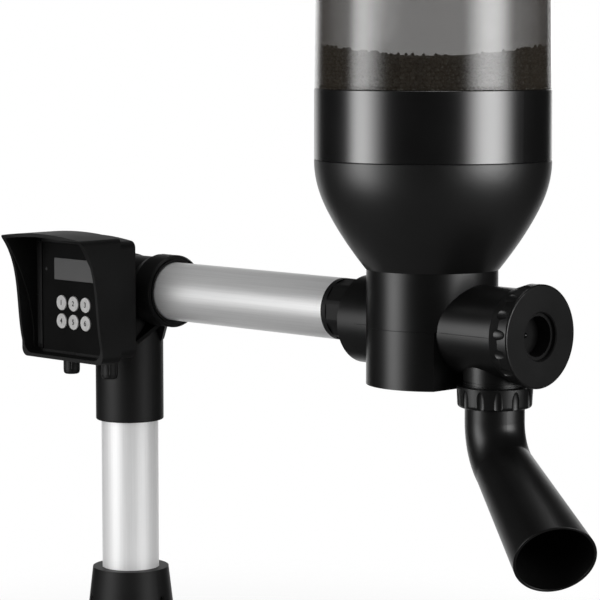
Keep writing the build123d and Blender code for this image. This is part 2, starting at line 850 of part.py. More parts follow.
# Hopper
def hopper_tube():
    seam = arm_z + collar_high
    top = seam + tube_h
    points = [
        (spigot_r, seam - spigot_h),
        (spigot_r, seam),
        (tube_r - seam_edge, seam),
        (tube_r, seam + seam_edge),
        (tube_top_r, top),
        (tube_top_r - tube_wall, top),
        (tube_r - tube_wall, seam + tube_foot_rise),
        (spigot_in_r, seam - tube_foot_rise / 2),
        (spigot_in_r, seam - spigot_h),
    ]
    return turned(points, reach)


def hopper_collar():
    low, high = arm_z + collar_low, arm_z + collar_high
    inner = collar_r - collar_wall
    ledge_z = high - spigot_h
    spigot_low = low - funnel_spigot_h
    points = [
        (collar_r - seam_edge, low),
        (collar_r, low + seam_edge),
        (collar_r, high - seam_edge),
        (collar_r - seam_edge, high),
        (inner, high),
        (inner, ledge_z),
        (spigot_in_r, ledge_z),
        (spigot_in_r, ledge_z - collar_ledge_t),
        (inner, ledge_z - 3 * collar_ledge_t),
        (inner, low + collar_ledge_t),
        (funnel_spigot_r - spigot_wall, low),
        (funnel_spigot_r - spigot_wall, spigot_low),
        (funnel_spigot_r, spigot_low),
        (funnel_spigot_r, low),
    ]
    return turned(points, reach)


def funnel_curve(offset):
    """The funnel's bowl from its shoulder to its foot, drawn in by an offset along its normal."""
    slope = Vector(-funnel_foot_slope, -1, 0).normalized()
    mid_slope = Vector(-funnel_mid_slope, -1, 0).normalized()
    shoulder = (collar_r - offset, arm_z + collar_low)
    middle = (funnel_mid_r + offset * mid_slope.Y, arm_z + funnel_mid_z - offset * mid_slope.X)
    foot = (funnel_foot_r + offset * slope.Y, arm_z + body_top - offset * slope.X)
    return Spline(shoulder, middle, foot, tangents=[(0, -1), (slope.X, slope.Y)])


def funnel_form(offset, top, low):
    """The solid inside the bowl's curve, drawn in by an offset, between two heights."""
    curve = funnel_curve(offset)
    shoulder, foot = curve @ 0, curve @ 1
    deep = foot.Y - 2 * funnel_wall  # carried on below the foot, then cut off at low
    deep_r = foot.X - funnel_foot_slope * 2 * funnel_wall
    high = arm_z + collar_high  # carried on above the shoulder, then cut off at top
    edge = (shoulder.X, shoulder.Y)
    rim = Polyline((foot.X, foot.Y), (deep_r, deep), (0, deep), (0, high), (shoulder.X, high), edge)
    face = Plane.XZ * make_face([curve, rim])
    form = Pos(reach, 0, 0) * revolve(face, Axis.Z)
    return form & rod_z(collar_r + 1, low, top, x=reach)


def hopper_funnel():
    low, top = arm_z + body_top, arm_z + collar_low
    bowl = funnel_form(0.0, top, low) - funnel_form(funnel_wall, top + 1, low + funnel_flange_t)
    bowl -= rod_z(funnel_hole_r, low - 1, low + funnel_flange_t + 1, x=reach)
    outer = collar_r + seam_edge
    bowl -= turned([(collar_r - seam_edge, top), (outer, top), (outer, top - 2 * seam_edge)], reach)
    for place in funnel_screw_places():
        bowl -= place * rod_z(funnel_screw_r + gap_fit, low - 1, low + funnel_flange_t + 1)
    return bowl


def funnel_screw_places():
    spots = []
    for i in range(4):
        angle = math.radians(45 + i * 90)
        r = funnel_screw_pcd / 2
        spots.append(Pos(reach + r * math.cos(angle), r * math.sin(angle), 0))
    return spots


def funnel_screws():
    low = arm_z + body_top
    head_z = low + funnel_flange_t
    screws = []
    for place in funnel_screw_places():
        screw = place * rod_z(funnel_screw_r, low - body_wall, head_z)
        head = place * rod_z(funnel_screw_head_r, head_z, head_z + funnel_screw_head_t)
        screws.append(screw + head)
    return group(screws)


def feed_pellets():
    """The feed as one settled mass, dished at the top, clear of the walls round it."""
    neck_r = min(funnel_spigot_r - spigot_wall, spigot_in_r, tube_r - tube_wall) - feed_gap
    top = arm_z + feed_level
    shoulder = arm_z + collar_low
    bowl = funnel_form(funnel_wall + gap_body, shoulder, arm_z + feed_low)
    bowl &= rod_z(neck_r, arm_z + feed_low, shoulder, x=reach)
    feed = bowl + rod_z(neck_r, shoulder - 1, top, x=reach)
    dish_r = (neck_r**2 + feed_dish**2) / (2 * feed_dish)
    feed -= Pos(reach, 0, top - feed_dish + dish_r) * Sphere(dish_r)
    mound_r = (mound_w**2 / 4 + mound_h**2) / (2 * mound_h)
    for ring in range(mound_rings + 1):
        out = ring * mound_pitch
        floor = top - feed_dish + dish_r - math.sqrt(dish_r**2 - out**2)
        count = max(1, 6 * ring)
        for i in range(count):
            place = Pos(reach, 0, floor + mound_h - mound_r) * Rot(0, 0, i * 360 / count) * Pos(out, 0, 0)
            feed += place * Sphere(mound_r) & rod_z(neck_r, floor - mound_h, floor + mound_r, x=reach)
    return feed


def lid_seat():
    return arm_z + collar_high + tube_h


def hopper_lid():
    seat = lid_seat()
    plug_r = tube_top_r - tube_wall - gap_body
    skirt_in = tube_top_r + gap_body + lid_skirt * (tube_r - tube_top_r) / tube_h
    top = seat + lid_t
    crown = top + lid_dome
    knob_top = crown + knob_h
    points = [
        (0, seat),
        (plug_r - lid_t, seat),
        (plug_r - lid_t, seat - lid_plug_h),
        (plug_r, seat - lid_plug_h),
        (plug_r, seat),
        (skirt_in, seat),
        (skirt_in, seat - lid_skirt),
        (lid_rim_r, seat - lid_skirt),
        (lid_rim_r, top - lid_edge),
        (lid_rim_r - lid_edge, top),
        (knob_r + lid_flat_w, crown - lid_edge),
        (knob_waist_r, crown),
        (knob_waist_r, crown + knob_h * 0.4),
        (knob_r, crown + knob_h * 0.6),
        (knob_r, knob_top - knob_edge),
        (knob_r - knob_edge, knob_top),
        (0, knob_top),
    ]
    return turned(points, reach) - lid_seal_ring(plug_r + gap_body)


def lid_seal_ring(outer):
    """A ring round the lid's plug, from the groove's floor to an outer radius."""
    plug_r = tube_top_r - tube_wall - gap_body
    mid = lid_seat() - lid_plug_h / 2
    ring = rod_z(outer, mid - lid_seal_h / 2, mid + lid_seal_h / 2, x=reach)
    return ring - rod_z(plug_r - lid_t / 2, mid - lid_seal_h, mid + lid_seal_h, x=reach)


def lid_seal():
    return lid_seal_ring(tube_top_r - tube_wall - gap_fit)


# Auger housing and drive
def body_form(wall, low, high):
    """The housing's upright body, drawn in by a wall, flat on its outlet side below the auger axis."""
    form = rod_z(body_r - wall, low, high, x=reach)
    flat = slab(reach + body_flat_x - wall, reach + body_r + 1, -body_r, body_r, low - 1, auger_z)
    return form - flat


def chute(wall):
    """The funnel-shaped way from the housing's top down to the auger, drawn out by a wall."""
    high = Pos(reach + chute_top_x, 0, arm_z + body_top) * Circle(chute_top_r + wall)
    low = Pos(reach + chute_low_x, 0, arm_z + chute_low_z) * Circle(chute_low_r + wall)
    return loft([low, high])


def cover_boss_places():
    r = body_r - body_wall - cover_boss_r + 0.5
    places = []
    for degrees in cover_boss_angles:
        a = math.radians(degrees)
        places.append((reach + r * math.cos(a), r * math.sin(a)))
    return places


def auger_housing():
    """The upright body over the auger, open below and round the barrel."""
    low, top = arm_z - body_low, arm_z + body_top
    core = body_form(body_wall, low - 1, top - body_wall)
    core -= chute(body_wall)
    for x, y in cover_boss_places():
        core -= rod_z(cover_boss_r, low + cover_t, low + cover_t + cover_boss_h, x=x, y=y)
    for place in funnel_screw_places():
        core -= place * rod_z(funnel_screw_r + 2, top - body_wall - funnel_screw_bite, top)
    body = body_form(0, low, top) - core
    body -= rod_x(barrel_r + bond_gap, reach - barrel_in, reach + barrel_out, z=auger_z)
    body -= chute(0)
    hole_top = low + cover_t + bottom_screw_bite + 2
    for x, y in cover_boss_places():
        body -= rod_z(cover_screw_r + gap_fit, low + cover_t - 1, hole_top, x=x, y=y)
    for place in funnel_screw_places():
        body -= place * rod_z(funnel_screw_r + gap_fit, top - body_wall - funnel_screw_bite, top + 1)
    return body


def auger_barrel():
    """The level barrel through the body: motor bay, bulkhead, then the auger's bore."""
    x_in, x_out = reach - barrel_in, reach + barrel_out
    barrel = rod_x(barrel_r, x_in, x_out, z=auger_z)
    barrel -= rod_x(bore_r, x_in + barrel_end_wall, reach - bulkhead_out - bulkhead_t, z=auger_z)
    barrel -= rod_x(bore_r, reach - bulkhead_out, x_out + 1, z=auger_z)
    barrel -= chute(0)
    barrel -= rod_z(stub_bore_r, arm_z - stub_end, auger_z, x=reach + outlet_x)
    barrel -= rod_x(register_r + gap_fit, reach - bulkhead_out - bulkhead_t - 1, reach, z=auger_z)
    barrel -= rod_x(adapter_thread_r + gap_fit, x_in - 1, x_in + barrel_end_wall + 1, z=arm_z)
    for place in motor_screw_places():
        barrel -= place * rod_x(motor_screw_r + gap_fit, -bulkhead_t - 1, 0.5)
        barrel -= place * rod_x(motor_head_r + gap_fit, -motor_head_t, 0.5)
    return barrel


def outlet_stub():
    """The threaded stub under the barrel, with two fine rings above the nut."""
    low = arm_z - stub_end
    stub = rod_z(stub_r, low, auger_z, x=reach + outlet_x)
    stub += rod_z(stub_thread_r, low, low + stub_thread_h, x=reach + outlet_x)
    for rise in stub_groove_rises:
        z = arm_z - outlet_nut_top + rise
        ring = rod_z(stub_r + 1, z - stub_groove_w / 2, z + stub_groove_w / 2, x=reach + outlet_x)
        stub -= ring - rod_z(stub_r - stub_groove, z - stub_groove_w, z + stub_groove_w, x=reach + outlet_x)
    stub -= rod_x(barrel_r + bond_gap, reach, reach + barrel_out, z=auger_z)
    return stub - rod_z(stub_bore_r, low - 1, auger_z, x=reach + outlet_x)


def bottom_cover():
    low = arm_z - body_low
    plate = body_form(body_wall + gap_fit, low, low + cover_t)
    for x, y in cover_boss_places():
        plate -= rod_z(cover_screw_r + gap_fit, low - 1, low + cover_t + 1, x=x, y=y)
        plate -= rod_z(cover_head_r + gap_fit, low - 1, low + bottom_head_t, x=x, y=y)
    return plate


def bottom_cover_screws():
    low = arm_z - body_low
    screws = []
    for x, y in cover_boss_places():
        screw = rod_z(cover_screw_r, low + bottom_head_t / 2, low + cover_t + bottom_screw_bite, x=x, y=y)
        screws.append(screw + rod_z(cover_head_r, low, low + bottom_head_t, x=x, y=y))
    return group(screws)


def arm_adapter():
    x0 = arm_tube_end()
    x1 = reach - barrel_in
    seat = x1 - arm_gasket_t
    ring = rod_x(pipe_r, x0, seat, z=arm_z)
    half = pipe_r * math.sin(math.pi / adapter_rib_count) - adapter_rib_w / 2
    deep = pipe_r - adapter_rib_depth
    for i in range(adapter_rib_count):
        turn = Pos(0, 0, arm_z) * Rot(360 * (i + 0.5) / adapter_rib_count, 0, 0)
        ring -= turn * slab(x0 + adapter_band, seat - adapter_band, -half, half, deep, pipe_r + 1)
    ring += rod_x(pipe_r - pipe_wall - gap_fit, x0 - adapter_plug, x0 + 1, z=arm_z)
    thread_end = x1 + barrel_end_wall + lock_nut_t + gap_body
    ring += rod_x(adapter_thread_r, x0, thread_end, z=arm_z)
    return ring - rod_x(adapter_bore_r, x0 - adapter_plug - 1, thread_end + 1, z=arm_z)


def arm_gasket():
    x1 = reach - barrel_in
    ring = rod_x(pipe_r - arm_gasket_inset, x1 - arm_gasket_t, x1, z=arm_z)
    return ring - rod_x(adapter_thread_r + gap_fit, x1 - arm_gasket_t - 1, x1 + 1, z=arm_z)


def arm_lock_nut():
    x0 = reach - barrel_in + barrel_end_wall
    nut = rod_x(lock_nut_r, x0, x0 + lock_nut_t, z=arm_z)
    for i in range(lock_nut_notches):
        turn = Pos(0, 0, arm_z) * Rot(i * 360 / lock_nut_notches, 0, 0)
        nut -= turn * rod_x(lock_nut_notch_r, x0 - 1, x0 + lock_nut_t + 1, z=lock_nut_r)
    return nut - rod_x(adapter_thread_r + gap_fit, x0 - 1, x0 + lock_nut_t + 1, z=arm_z)


def motor_screw_places():
    face = reach - bulkhead_out
    places = []
    for i in range(3):
        places.append(Pos(face, 0, auger_z) * Rot(i * 120, 0, 0) * Pos(0, 0, motor_screw_pcd / 2))
    return places


def gearbox():
    face = reach - bulkhead_out - bulkhead_t
    box = rod_x(gear_r, face - gear_len, face, z=auger_z)
    box = fillet(box.edges().filter_by(GeomType.CIRCLE), 0.8)
    box += rod_x(register_r, face - 1, face + register_len, z=auger_z)
    box -= rod_x(shaft_r + gap_shaft, face - shaft_in - gap_face, face + register_len + 1, z=auger_z)
    for place in motor_screw_places():
        box -= place * Pos(-bulkhead_t, 0, 0) * rod_x(motor_screw_r + gap_fit, -motor_screw_len, 1)
    return box


def drive_motor():
    face = reach - bulkhead_out - bulkhead_t - gear_len
    motor = rod_x(motor_r, face - motor_len, face, z=auger_z)
    motor = fillet(motor.edges().filter_by(GeomType.CIRCLE), 1.2)
    for side in (-1, 1):
        motor += Pos(face - motor_len - 1.0, 0, auger_z + side * 8) * Box(4, 3, 2.4)
    return motor


def motor_screws():
    screws = []
    for place in motor_screw_places():
        screw = place * rod_x(motor_screw_r, -bulkhead_t - motor_screw_len + 1, -motor_head_t)
        head = place * rod_x(motor_head_r, -motor_head_t, 0)
        screws.append(screw + head)
    return group(screws)


def output_shaft():
    face = reach - bulkhead_out - bulkhead_t
    return rod_x(shaft_r, face - shaft_in, reach + shaft_out, z=auger_z)


def shaft_seal():
    x0 = reach - bulkhead_out - bulkhead_t + register_len
    ring = rod_x(register_r, x0, reach - bulkhead_out - 0.2, z=auger_z)
    return ring - rod_x(shaft_r + gap_shaft, x0 - 1, reach, z=auger_z)


def auger_start():
    return reach - bulkhead_out + 1.0


def plug_disc_x():
    """Inner face of the end plug's disc."""
    return reach + barrel_out + end_seal_t - plug_deep


def auger():
    start = auger_start()
    shoulder = plug_disc_x() - bush_len - 1.0
    core = rod_x(auger_core_r, start, shoulder, z=auger_z)
    core += rod_x(journal_r, shoulder - 1, plug_disc_x() - 0.5, z=auger_z)
    core -= rod_x(shaft_r, start - 1, reach + shaft_out, z=auger_z)
    length = reach + auger_blade_end - start - auger_blade
    inner = auger_core_r - 0.5
    middle = (auger_r + inner) / 2
    path = Helix(auger_pitch, length, middle)
    section = Plane(path @ 0, x_dir=(1, 0, 0), z_dir=path % 0) * Rectangle(auger_r - inner, auger_blade)
    blade = sweep(section, path, is_frenet=True)
    blade = Pos(start + auger_blade / 2 + 0.4, 0, auger_z) * Rot(0, 90, 0) * blade
    blade &= rod_x(auger_r, start, reach + auger_blade_end, z=auger_z)
    return core + blade


def auger_bush():
    x1 = plug_disc_x()
    ring = rod_x(journal_r + bush_wall, x1 - bush_len, x1, z=auger_z)
    return ring - rod_x(journal_r + gap_shaft, x1 - bush_len - 1, x1 + 1, z=auger_z)


def end_plug():
    disc = plug_disc_x()
    seat = reach + barrel_out + end_seal_t
    front = reach + cap_face_x - cap_lip - gap_face
    wall_r = bore_r - gap_fit
    plug = rod_x(wall_r, disc, seat, z=auger_z)
    plug -= rod_x(wall_r - plug_wall, disc + plug_disc, seat + 1, z=auger_z)
    plug += rod_x(plug_flange_r, seat, front, z=auger_z)
    plug += rod_x(plug_recess_r + plug_wall, disc, front, z=auger_z)
    plug -= rod_x(plug_recess_r, disc + plug_disc, front + 1, z=auger_z)
    nub = Pos(disc + plug_disc, 0, auger_z) * Sphere(plug_nub_r)
    plug += nub & rod_x(bore_r, disc + plug_disc / 2, seat, z=auger_z)
    boss_r = journal_r + bush_wall + plug_wall
    plug += rod_x(boss_r, disc - bush_len, disc, z=auger_z)
    return plug - rod_x(journal_r + bush_wall, disc - bush_len - 1, disc, z=auger_z)


def end_seal():
    x0 = reach + barrel_out
    return rod_x(barrel_r - 0.5, x0, x0 + end_seal_t, z=auger_z) - rod_x(bore_r, x0 - 1, x0 + 5, z=auger_z)


def end_cap_nut():
    front = cap_face_x
    back = cap_face_x - cap_nut_len
    shoulder = front - cap_lip
    points = [
        (barrel_r + gap_body, back),
        (cap_nut_rear_r, back),
        (cap_nut_r, back + cap_nut_taper),
        (cap_nut_r, front),
        (cap_hole_r + cap_hole_edge, front),
        (cap_hole_r, front - cap_hole_edge),
        (cap_hole_r, shoulder),
        (barrel_r + gap_body, shoulder),
    ]
    nut = turned(points)
    rim = nut.edges().filter_by(GeomType.CIRCLE).group_by(Axis.Z)[-1].sort_by(SortBy.RADIUS)[-1]
    nut = fillet(rim, cap_edge)
    mid = front - cap_edge - cap_scallop_len / 2
    for i in range(cap_scallops):
        dent = scale(Sphere(1.0), (cap_scallop_depth, cap_scallop_w / 2, cap_scallop_len / 2))
        nut -= Rot(0, 0, cap_scallop_turn + 360 * i / cap_scallops) * Pos(cap_nut_r, 0, mid) * dent
    return Pos(reach, 0, auger_z) * Rot(0, 90, 0) * nut


# Outlet and spout
def outlet_seal():
    top = arm_z - stub_end
    ring = rod_z(stub_thread_r - 0.4, top - outlet_seal_t, top, x=reach + outlet_x)
    return ring - rod_z(stub_bore_r + 0.4, top - 5, top + 1, x=reach + outlet_x)


def outlet_nut():
    top, low = arm_z - outlet_nut_top, arm_z - outlet_nut_low
    points = [
        (0, low),
        (outlet_nut_foot_r, low),
        (outlet_nut_r, top),
        (0, top),
    ]
    nut = turned(points)
    nut = fillet(nut.edges().group_by(Axis.Z)[0], outlet_nut_edge)
    nut = fillet(nut.edges().group_by(Axis.Z)[-1], outlet_nut_edge / 5)
    nut -= rod_z(stub_thread_r + gap_body, low + outlet_nut_lip, top + 1)
    nut -= rod_z(spout_r + gap_body, low - 1, low + outlet_nut_lip + 1)
    mid = (outlet_nut_foot_r + outlet_nut_r) / 2
    for i in range(outlet_flutes):
        dent = scale(Sphere(1.0), (outlet_flute_depth, outlet_flute_w / 2, outlet_flute_half))
        turn = Rot(0, 0, outlet_flute_turn + 360 * i / outlet_flutes)
        nut -= turn * Pos(mid, 0, low + outlet_flute_rise) * dent
    return Pos(reach + outlet_x, 0, 0) * nut


def spout_form(wall):
    """The spout's outer form drawn in by a wall: upright, bend, then a cone past the mouth."""
    radius = spout_r - wall
    tangent = spout_bend_r * math.tan(math.radians(spout_turn / 2))
    bend_z = arm_z - spout_corner + tangent
    top = arm_z - stub_end - outlet_seal_t - gap_face
    extra = 1.0 if wall else 0.0
    form = rod_z(radius, bend_z, top + extra)
    ring = Pos(0, 0, bend_z) * Circle(radius)
    form += revolve(ring, Axis((spout_bend_r, 0, bend_z), (0, -1, 0)), spout_turn)
    run = spout_reach - tangent
    grow = (spout_mouth_r - spout_r) / run
    past = run + spout_mouth_r / 2 + extra
    cone = Cone(radius, radius + grow * past, past)
    return form + spout_lead() * Pos(0, 0, tangent + past / 2) * cone


def spout_lead():
    """The frame at the spout's corner whose Z runs down the slope."""
    return Pos(0, 0, arm_z - spout_corner) * Rot(0, 180 - spout_turn, 0)


def spout():
    top = arm_z - stub_end - outlet_seal_t - gap_face
    flange = rod_z(stub_thread_r, top - spout_flange_t, top)
    outside = 3 * spout_mouth_r
    past_mouth = spout_lead() * Pos(0, 0, spout_reach) * Rot(spout_mouth_turn, 0, 0)
    past_mouth *= Pos(0, 0, outside / 2) * Box(outside, outside, outside)
    piece = spout_form(0.0) + flange - spout_form(spout_wall) - past_mouth
    mouth = piece.faces().filter_by(GeomType.PLANE).sort_by(Axis.X)[-1]
    piece = fillet(mouth.edges(), spout_rim_edge)
    return Pos(reach + outlet_x, 0, 0) * Rot(0, 0, -spout_heading) * piece


def nodes():
    parts = {
        "foot_flange": foot_flange(),
        "foot_set_screws": foot_set_screws(),
        "post_tube": post_tube(),
        "elbow_fitting": elbow_fitting(),
        "elbow_set_screws": elbow_set_screws(),
        "arm_tube": arm_tube(),
        "arm_adapter": arm_adapter(),
        "arm_gasket": arm_gasket(),
        "arm_lock_nut": arm_lock_nut(),
        "controller_back": controller_back(),
        "controller_gasket": controller_gasket(),
        "controller_cover": controller_cover(),
        "controller_hood": controller_hood(),
        "cover_screws": cover_screws(),
        "keypad_panel": keypad_panel(),
        "lcd_window": lcd_window(),
        "lcd_module": lcd_module(),
        "status_led": status_led(),
        "tact_switches": tact_switches(),
        "circuit_board": circuit_board(),
        "board_screws": board_screws(),
        "controller_bracket": controller_bracket(),
        "bracket_screws": bracket_screws(),
        "gland_bodies": gland_bodies(),
        "gland_seals": gland_seals(),
        "gland_nut_left": gland_nut(gland_xs()[0]),
        "gland_nut_right": gland_nut(gland_xs()[1]),
        "hopper_tube": hopper_tube(),
        "hopper_collar": hopper_collar(),
        "hopper_funnel": hopper_funnel(),
        "funnel_screws": funnel_screws(),
        "feed_pellets": feed_pellets(),
        "hopper_lid": hopper_lid(),
        "lid_seal": lid_seal(),
        "auger_housing": auger_housing(),
        "auger_barrel": auger_barrel(),
        "outlet_stub": outlet_stub(),
        "bottom_cover": bottom_cover(),
        "bottom_cover_screws": bottom_cover_screws(),
        "gearbox": gearbox(),
        "drive_motor": drive_motor(),
        "motor_screws": motor_screws(),
        "output_shaft": output_shaft(),
        "shaft_seal": shaft_seal(),
        "auger": auger(),
        "auger_bush": auger_bush(),
        "end_plug": end_plug(),
        "end_seal": end_seal(),
        "end_cap_nut": end_cap_nut(),
        "outlet_seal": outlet_seal(),
        "outlet_nut": outlet_nut(),
        "spout": spout(),
    }
    for i, (x, z) in enumerate(key_points()):
        parts[f"button_{i + 1}"] = button(x, z)
    return parts


os.makedirs("parts", exist_ok=True)
for name, shape in nodes().items():
    export_step(shape, f"parts/{name}.step")
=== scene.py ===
import json
import math

import bmesh
import bpy
import numpy as np
from mathutils import Matrix, Vector


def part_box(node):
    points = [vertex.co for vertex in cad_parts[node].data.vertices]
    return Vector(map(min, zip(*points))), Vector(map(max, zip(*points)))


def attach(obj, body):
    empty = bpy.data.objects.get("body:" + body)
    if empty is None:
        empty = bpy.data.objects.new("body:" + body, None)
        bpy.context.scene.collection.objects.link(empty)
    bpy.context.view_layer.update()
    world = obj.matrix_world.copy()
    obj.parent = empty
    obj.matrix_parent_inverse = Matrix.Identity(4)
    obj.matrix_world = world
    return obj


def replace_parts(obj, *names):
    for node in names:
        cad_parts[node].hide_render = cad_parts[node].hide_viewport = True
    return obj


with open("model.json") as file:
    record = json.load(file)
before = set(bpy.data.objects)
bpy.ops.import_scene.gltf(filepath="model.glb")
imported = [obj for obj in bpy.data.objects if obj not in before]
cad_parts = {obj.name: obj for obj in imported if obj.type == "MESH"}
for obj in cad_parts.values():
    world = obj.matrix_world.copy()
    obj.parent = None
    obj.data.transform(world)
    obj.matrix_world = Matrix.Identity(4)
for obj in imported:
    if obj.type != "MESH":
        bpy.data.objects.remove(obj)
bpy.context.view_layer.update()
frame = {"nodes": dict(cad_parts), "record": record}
scene = bpy.context.scene
mm = 0.001
print("frame loaded:", len(frame["nodes"]), "nodes")


# Shader sums: a Wire is a node's output, and an operator on it adds the Math node.
class Wire:
    def __init__(self, board, socket):
        self.board = board
        self.socket = socket

    def __add__(self, other):
        return self.board.maths("ADD", self, other)

    def __radd__(self, other):
        return self.board.maths("ADD", other, self)

    def __sub__(self, other):
        return self.board.maths("SUBTRACT", self, other)

    def __rsub__(self, other):
        return self.board.maths("SUBTRACT", other, self)

    def __mul__(self, other):
        return self.board.maths("MULTIPLY", self, other)

    def __rmul__(self, other):
        return self.board.maths("MULTIPLY", other, self)

    def __pow__(self, other):
        return self.board.maths("POWER", self, other)


# A node tree, with one way to add a node: its type, its settings, then its sockets.
class Board:
    def __init__(self, tree):
        self.tree = tree

    def add(self, kind, settings=None, sockets=None, output=0):
        node = self.tree.nodes.new(kind)
        for name, value in (settings or {}).items():
            setattr(node, name, value)
        for name, value in (sockets or {}).items():
            self.plug(node.inputs[name], value)
        return Wire(self, node.outputs[output])

    def plug(self, socket, value):
        if isinstance(value, Wire):
            self.tree.links.new(value.socket, socket)
        else:
            socket.default_value = value

    def maths(self, operation, *values):
        return self.add("ShaderNodeMath", {"operation": operation}, dict(enumerate(values)))

    # 0 below the first value, 1 above the second, a smooth step between
    def step(self, value, low, high):
        settings = {"interpolation_type": "SMOOTHSTEP"}
        return self.add("ShaderNodeMapRange", settings, {"Value": value, "From Min": low, "From Max": high})

    def blendColours(self, share, first, second):
        return self.add("ShaderNodeMix", {"data_type": "RGBA"}, {0: share, 6: first, 7: second}, 2)

    def place(self):
        return self.add("ShaderNodeTexCoord", output=3)

    def stretched(self, place, scale):
        return self.add("ShaderNodeVectorMath", {"operation": "MULTIPLY"}, {0: place, 1: scale})

    # how far one vector goes along another
    def along(self, vector, axis):
        return self.add("ShaderNodeVectorMath", {"operation": "DOT_PRODUCT"}, {0: vector, 1: axis}, 1)

    def noise(self, place, scale=1.0, detail=2.0, roughness=0.5):
        sockets = {"Vector": place, "Scale": scale, "Detail": detail, "Roughness": roughness}
        return self.add("ShaderNodeTexNoise", None, sockets)


# A material: constants go on the shader's own sockets, what varies is plugged in.
class Finish(Board):
    def __init__(self, name, constants):
        self.material = bpy.data.materials.new(name)
        self.material.use_nodes = True
        super().__init__(self.material.node_tree)
        self.shader = self.tree.nodes["Principled BSDF"]
        self.drive(constants)

    def drive(self, sockets):
        for name, value in sockets.items():
            self.plug(self.shader.inputs[name], value)

    def bump(self, height, distance):
        sockets = {"Height": height, "Distance": distance, "Strength": 1.0}
        self.drive({"Normal": self.add("ShaderNodeBump", None, sockets)})


def grey(level, warmth=0.0):
    return (level * (1 + warmth), level, level * (1 - warmth), 1.0)


# Moulded plastic: fine grain, slow changes of gloss, a little dust tone in the colour.
def mouldedPlastic(name, look):
    constants = {
        "Specular IOR Level": look["specular"],
        "Coat Weight": look["coat"],
        "Coat Roughness": look["coatRoughness"],
    }
    finish = Finish(name, constants)
    place = finish.place()
    cloud = finish.noise(place, look["cloudScale"], detail=3.0)
    grain = finish.noise(place, look["grainScale"], roughness=0.6)
    tone = finish.step(cloud, low=0.3, high=0.75)
    finish.drive({
        "Base Color": finish.blendColours(tone, look["dark"], look["light"]),
        "Roughness": look["roughness"] + look["roughnessSpread"] * (cloud - 0.5) * 2.0,
    })
    finish.bump(grain, look["grainDepth"])
    return finish.material


def glossBlack():
    look = {
        "dark": grey(0.0028), "light": grey(0.0042), "specular": 1.0, "coat": 0.5, "coatRoughness": 0.2,
        "roughness": 0.25, "roughnessSpread": 0.03,
        "cloudScale": 18.0, "grainScale": 520.0, "grainDepth": 4e-6,
    }
    return mouldedPlastic("glossBlack", look)


def funnelBlack():
    look = {
        "dark": grey(0.0032), "light": grey(0.0048), "specular": 0.8, "coat": 0.2, "coatRoughness": 0.35,
        "roughness": 0.38, "roughnessSpread": 0.04,
        "cloudScale": 20.0, "grainScale": 600.0, "grainDepth": 5e-6,
    }
    return mouldedPlastic("funnelBlack", look)


def satinBlack():
    look = {
        "dark": grey(0.0030), "light": grey(0.0046), "specular": 0.55, "coat": 0.0, "coatRoughness": 0.3,
        "roughness": 0.34, "roughnessSpread": 0.04,
        "cloudScale": 26.0, "grainScale": 700.0, "grainDepth": 6e-6,
    }
    return mouldedPlastic("satinBlack", look)


def matteShell():
    look = {
        "dark": grey(0.0042), "light": grey(0.0062), "specular": 0.32, "coat": 0.0, "coatRoughness": 0.3,
        "roughness": 0.5, "roughnessSpread": 0.05,
        "cloudScale": 30.0, "grainScale": 1500.0, "grainDepth": 2.5e-5,
    }
    return mouldedPlastic("matteShell", look)


def softRubber():
    look = {
        "dark": grey(0.006), "light": grey(0.010), "specular": 0.3, "coat": 0.0, "coatRoughness": 0.3,
        "roughness": 0.7, "roughnessSpread": 0.06,
        "cloudScale": 60.0, "grainScale": 2200.0, "grainDepth": 1.5e-5,
    }
    return mouldedPlastic("softRubber", look)


def keypadFilm():
    look = {
        "dark": grey(0.0035), "light": grey(0.0048), "specular": 0.07, "coat": 0.0, "coatRoughness": 0.3,
        "roughness": 0.42, "roughnessSpread": 0.03,
        "cloudScale": 40.0, "grainScale": 2600.0, "grainDepth": 8e-6,
    }
    return mouldedPlastic("keypadFilm", look)


def paleKey():
    look = {
        "dark": grey(0.42, 0.01), "light": grey(0.50, 0.01), "specular": 0.4, "coat": 0.0,
        "coatRoughness": 0.3, "roughness": 0.5, "roughnessSpread": 0.04,
        "cloudScale": 260.0, "grainScale": 2600.0, "grainDepth": 6e-6,
    }
    return mouldedPlastic("paleKey", look)


def augerWhite():
    look = {
        "dark": grey(0.50, 0.02), "light": grey(0.60, 0.02), "specular": 0.5, "coat": 0.0,
        "coatRoughness": 0.3, "roughness": 0.38, "roughnessSpread": 0.05,
        "cloudScale": 45.0, "grainScale": 900.0, "grainDepth": 8e-6,
    }
    return mouldedPlastic("augerWhite", look)


def switchBody():
    look = {
        "dark": grey(0.02), "light": grey(0.03), "specular": 0.5, "coat": 0.0, "coatRoughness": 0.3,
        "roughness": 0.45, "roughnessSpread": 0.04,
        "cloudScale": 200.0, "grainScale": 2600.0, "grainDepth": 6e-6,
    }
    return mouldedPlastic("switchBody", look)


# Satin anodised pipe: fine drawing lines along its own axis in the colour, gloss and relief.
def anodisedPipe(name, along, look):
    drawing = {
        "across": 900.0, "length": 9.0, "bandScale": 0.12, "lineShare": 0.65, "bandShare": 0.35,
        "roughnessSpread": 0.05, "depth": 2.5e-6,
    }
    scale = [drawing["across"]] * 3
    scale[along] = drawing["length"]
    finish = Finish(name, {"Metallic": look["metallic"], "Specular IOR Level": 0.5})
    place = finish.place()
    lines = finish.noise(finish.stretched(place, scale), detail=3.0, roughness=0.6)
    bandScale = [value * drawing["bandScale"] for value in scale]
    bands = finish.noise(finish.stretched(place, bandScale))
    mixed = lines * drawing["lineShare"] + bands * drawing["bandShare"]
    share = finish.step(mixed, low=0.3, high=0.7)
    finish.drive({
        "Base Color": finish.blendColours(share, look["dark"], look["light"]),
        "Roughness": look["roughness"] + drawing["roughnessSpread"] * lines,
    })
    finish.bump(lines, drawing["depth"])
    return finish.material


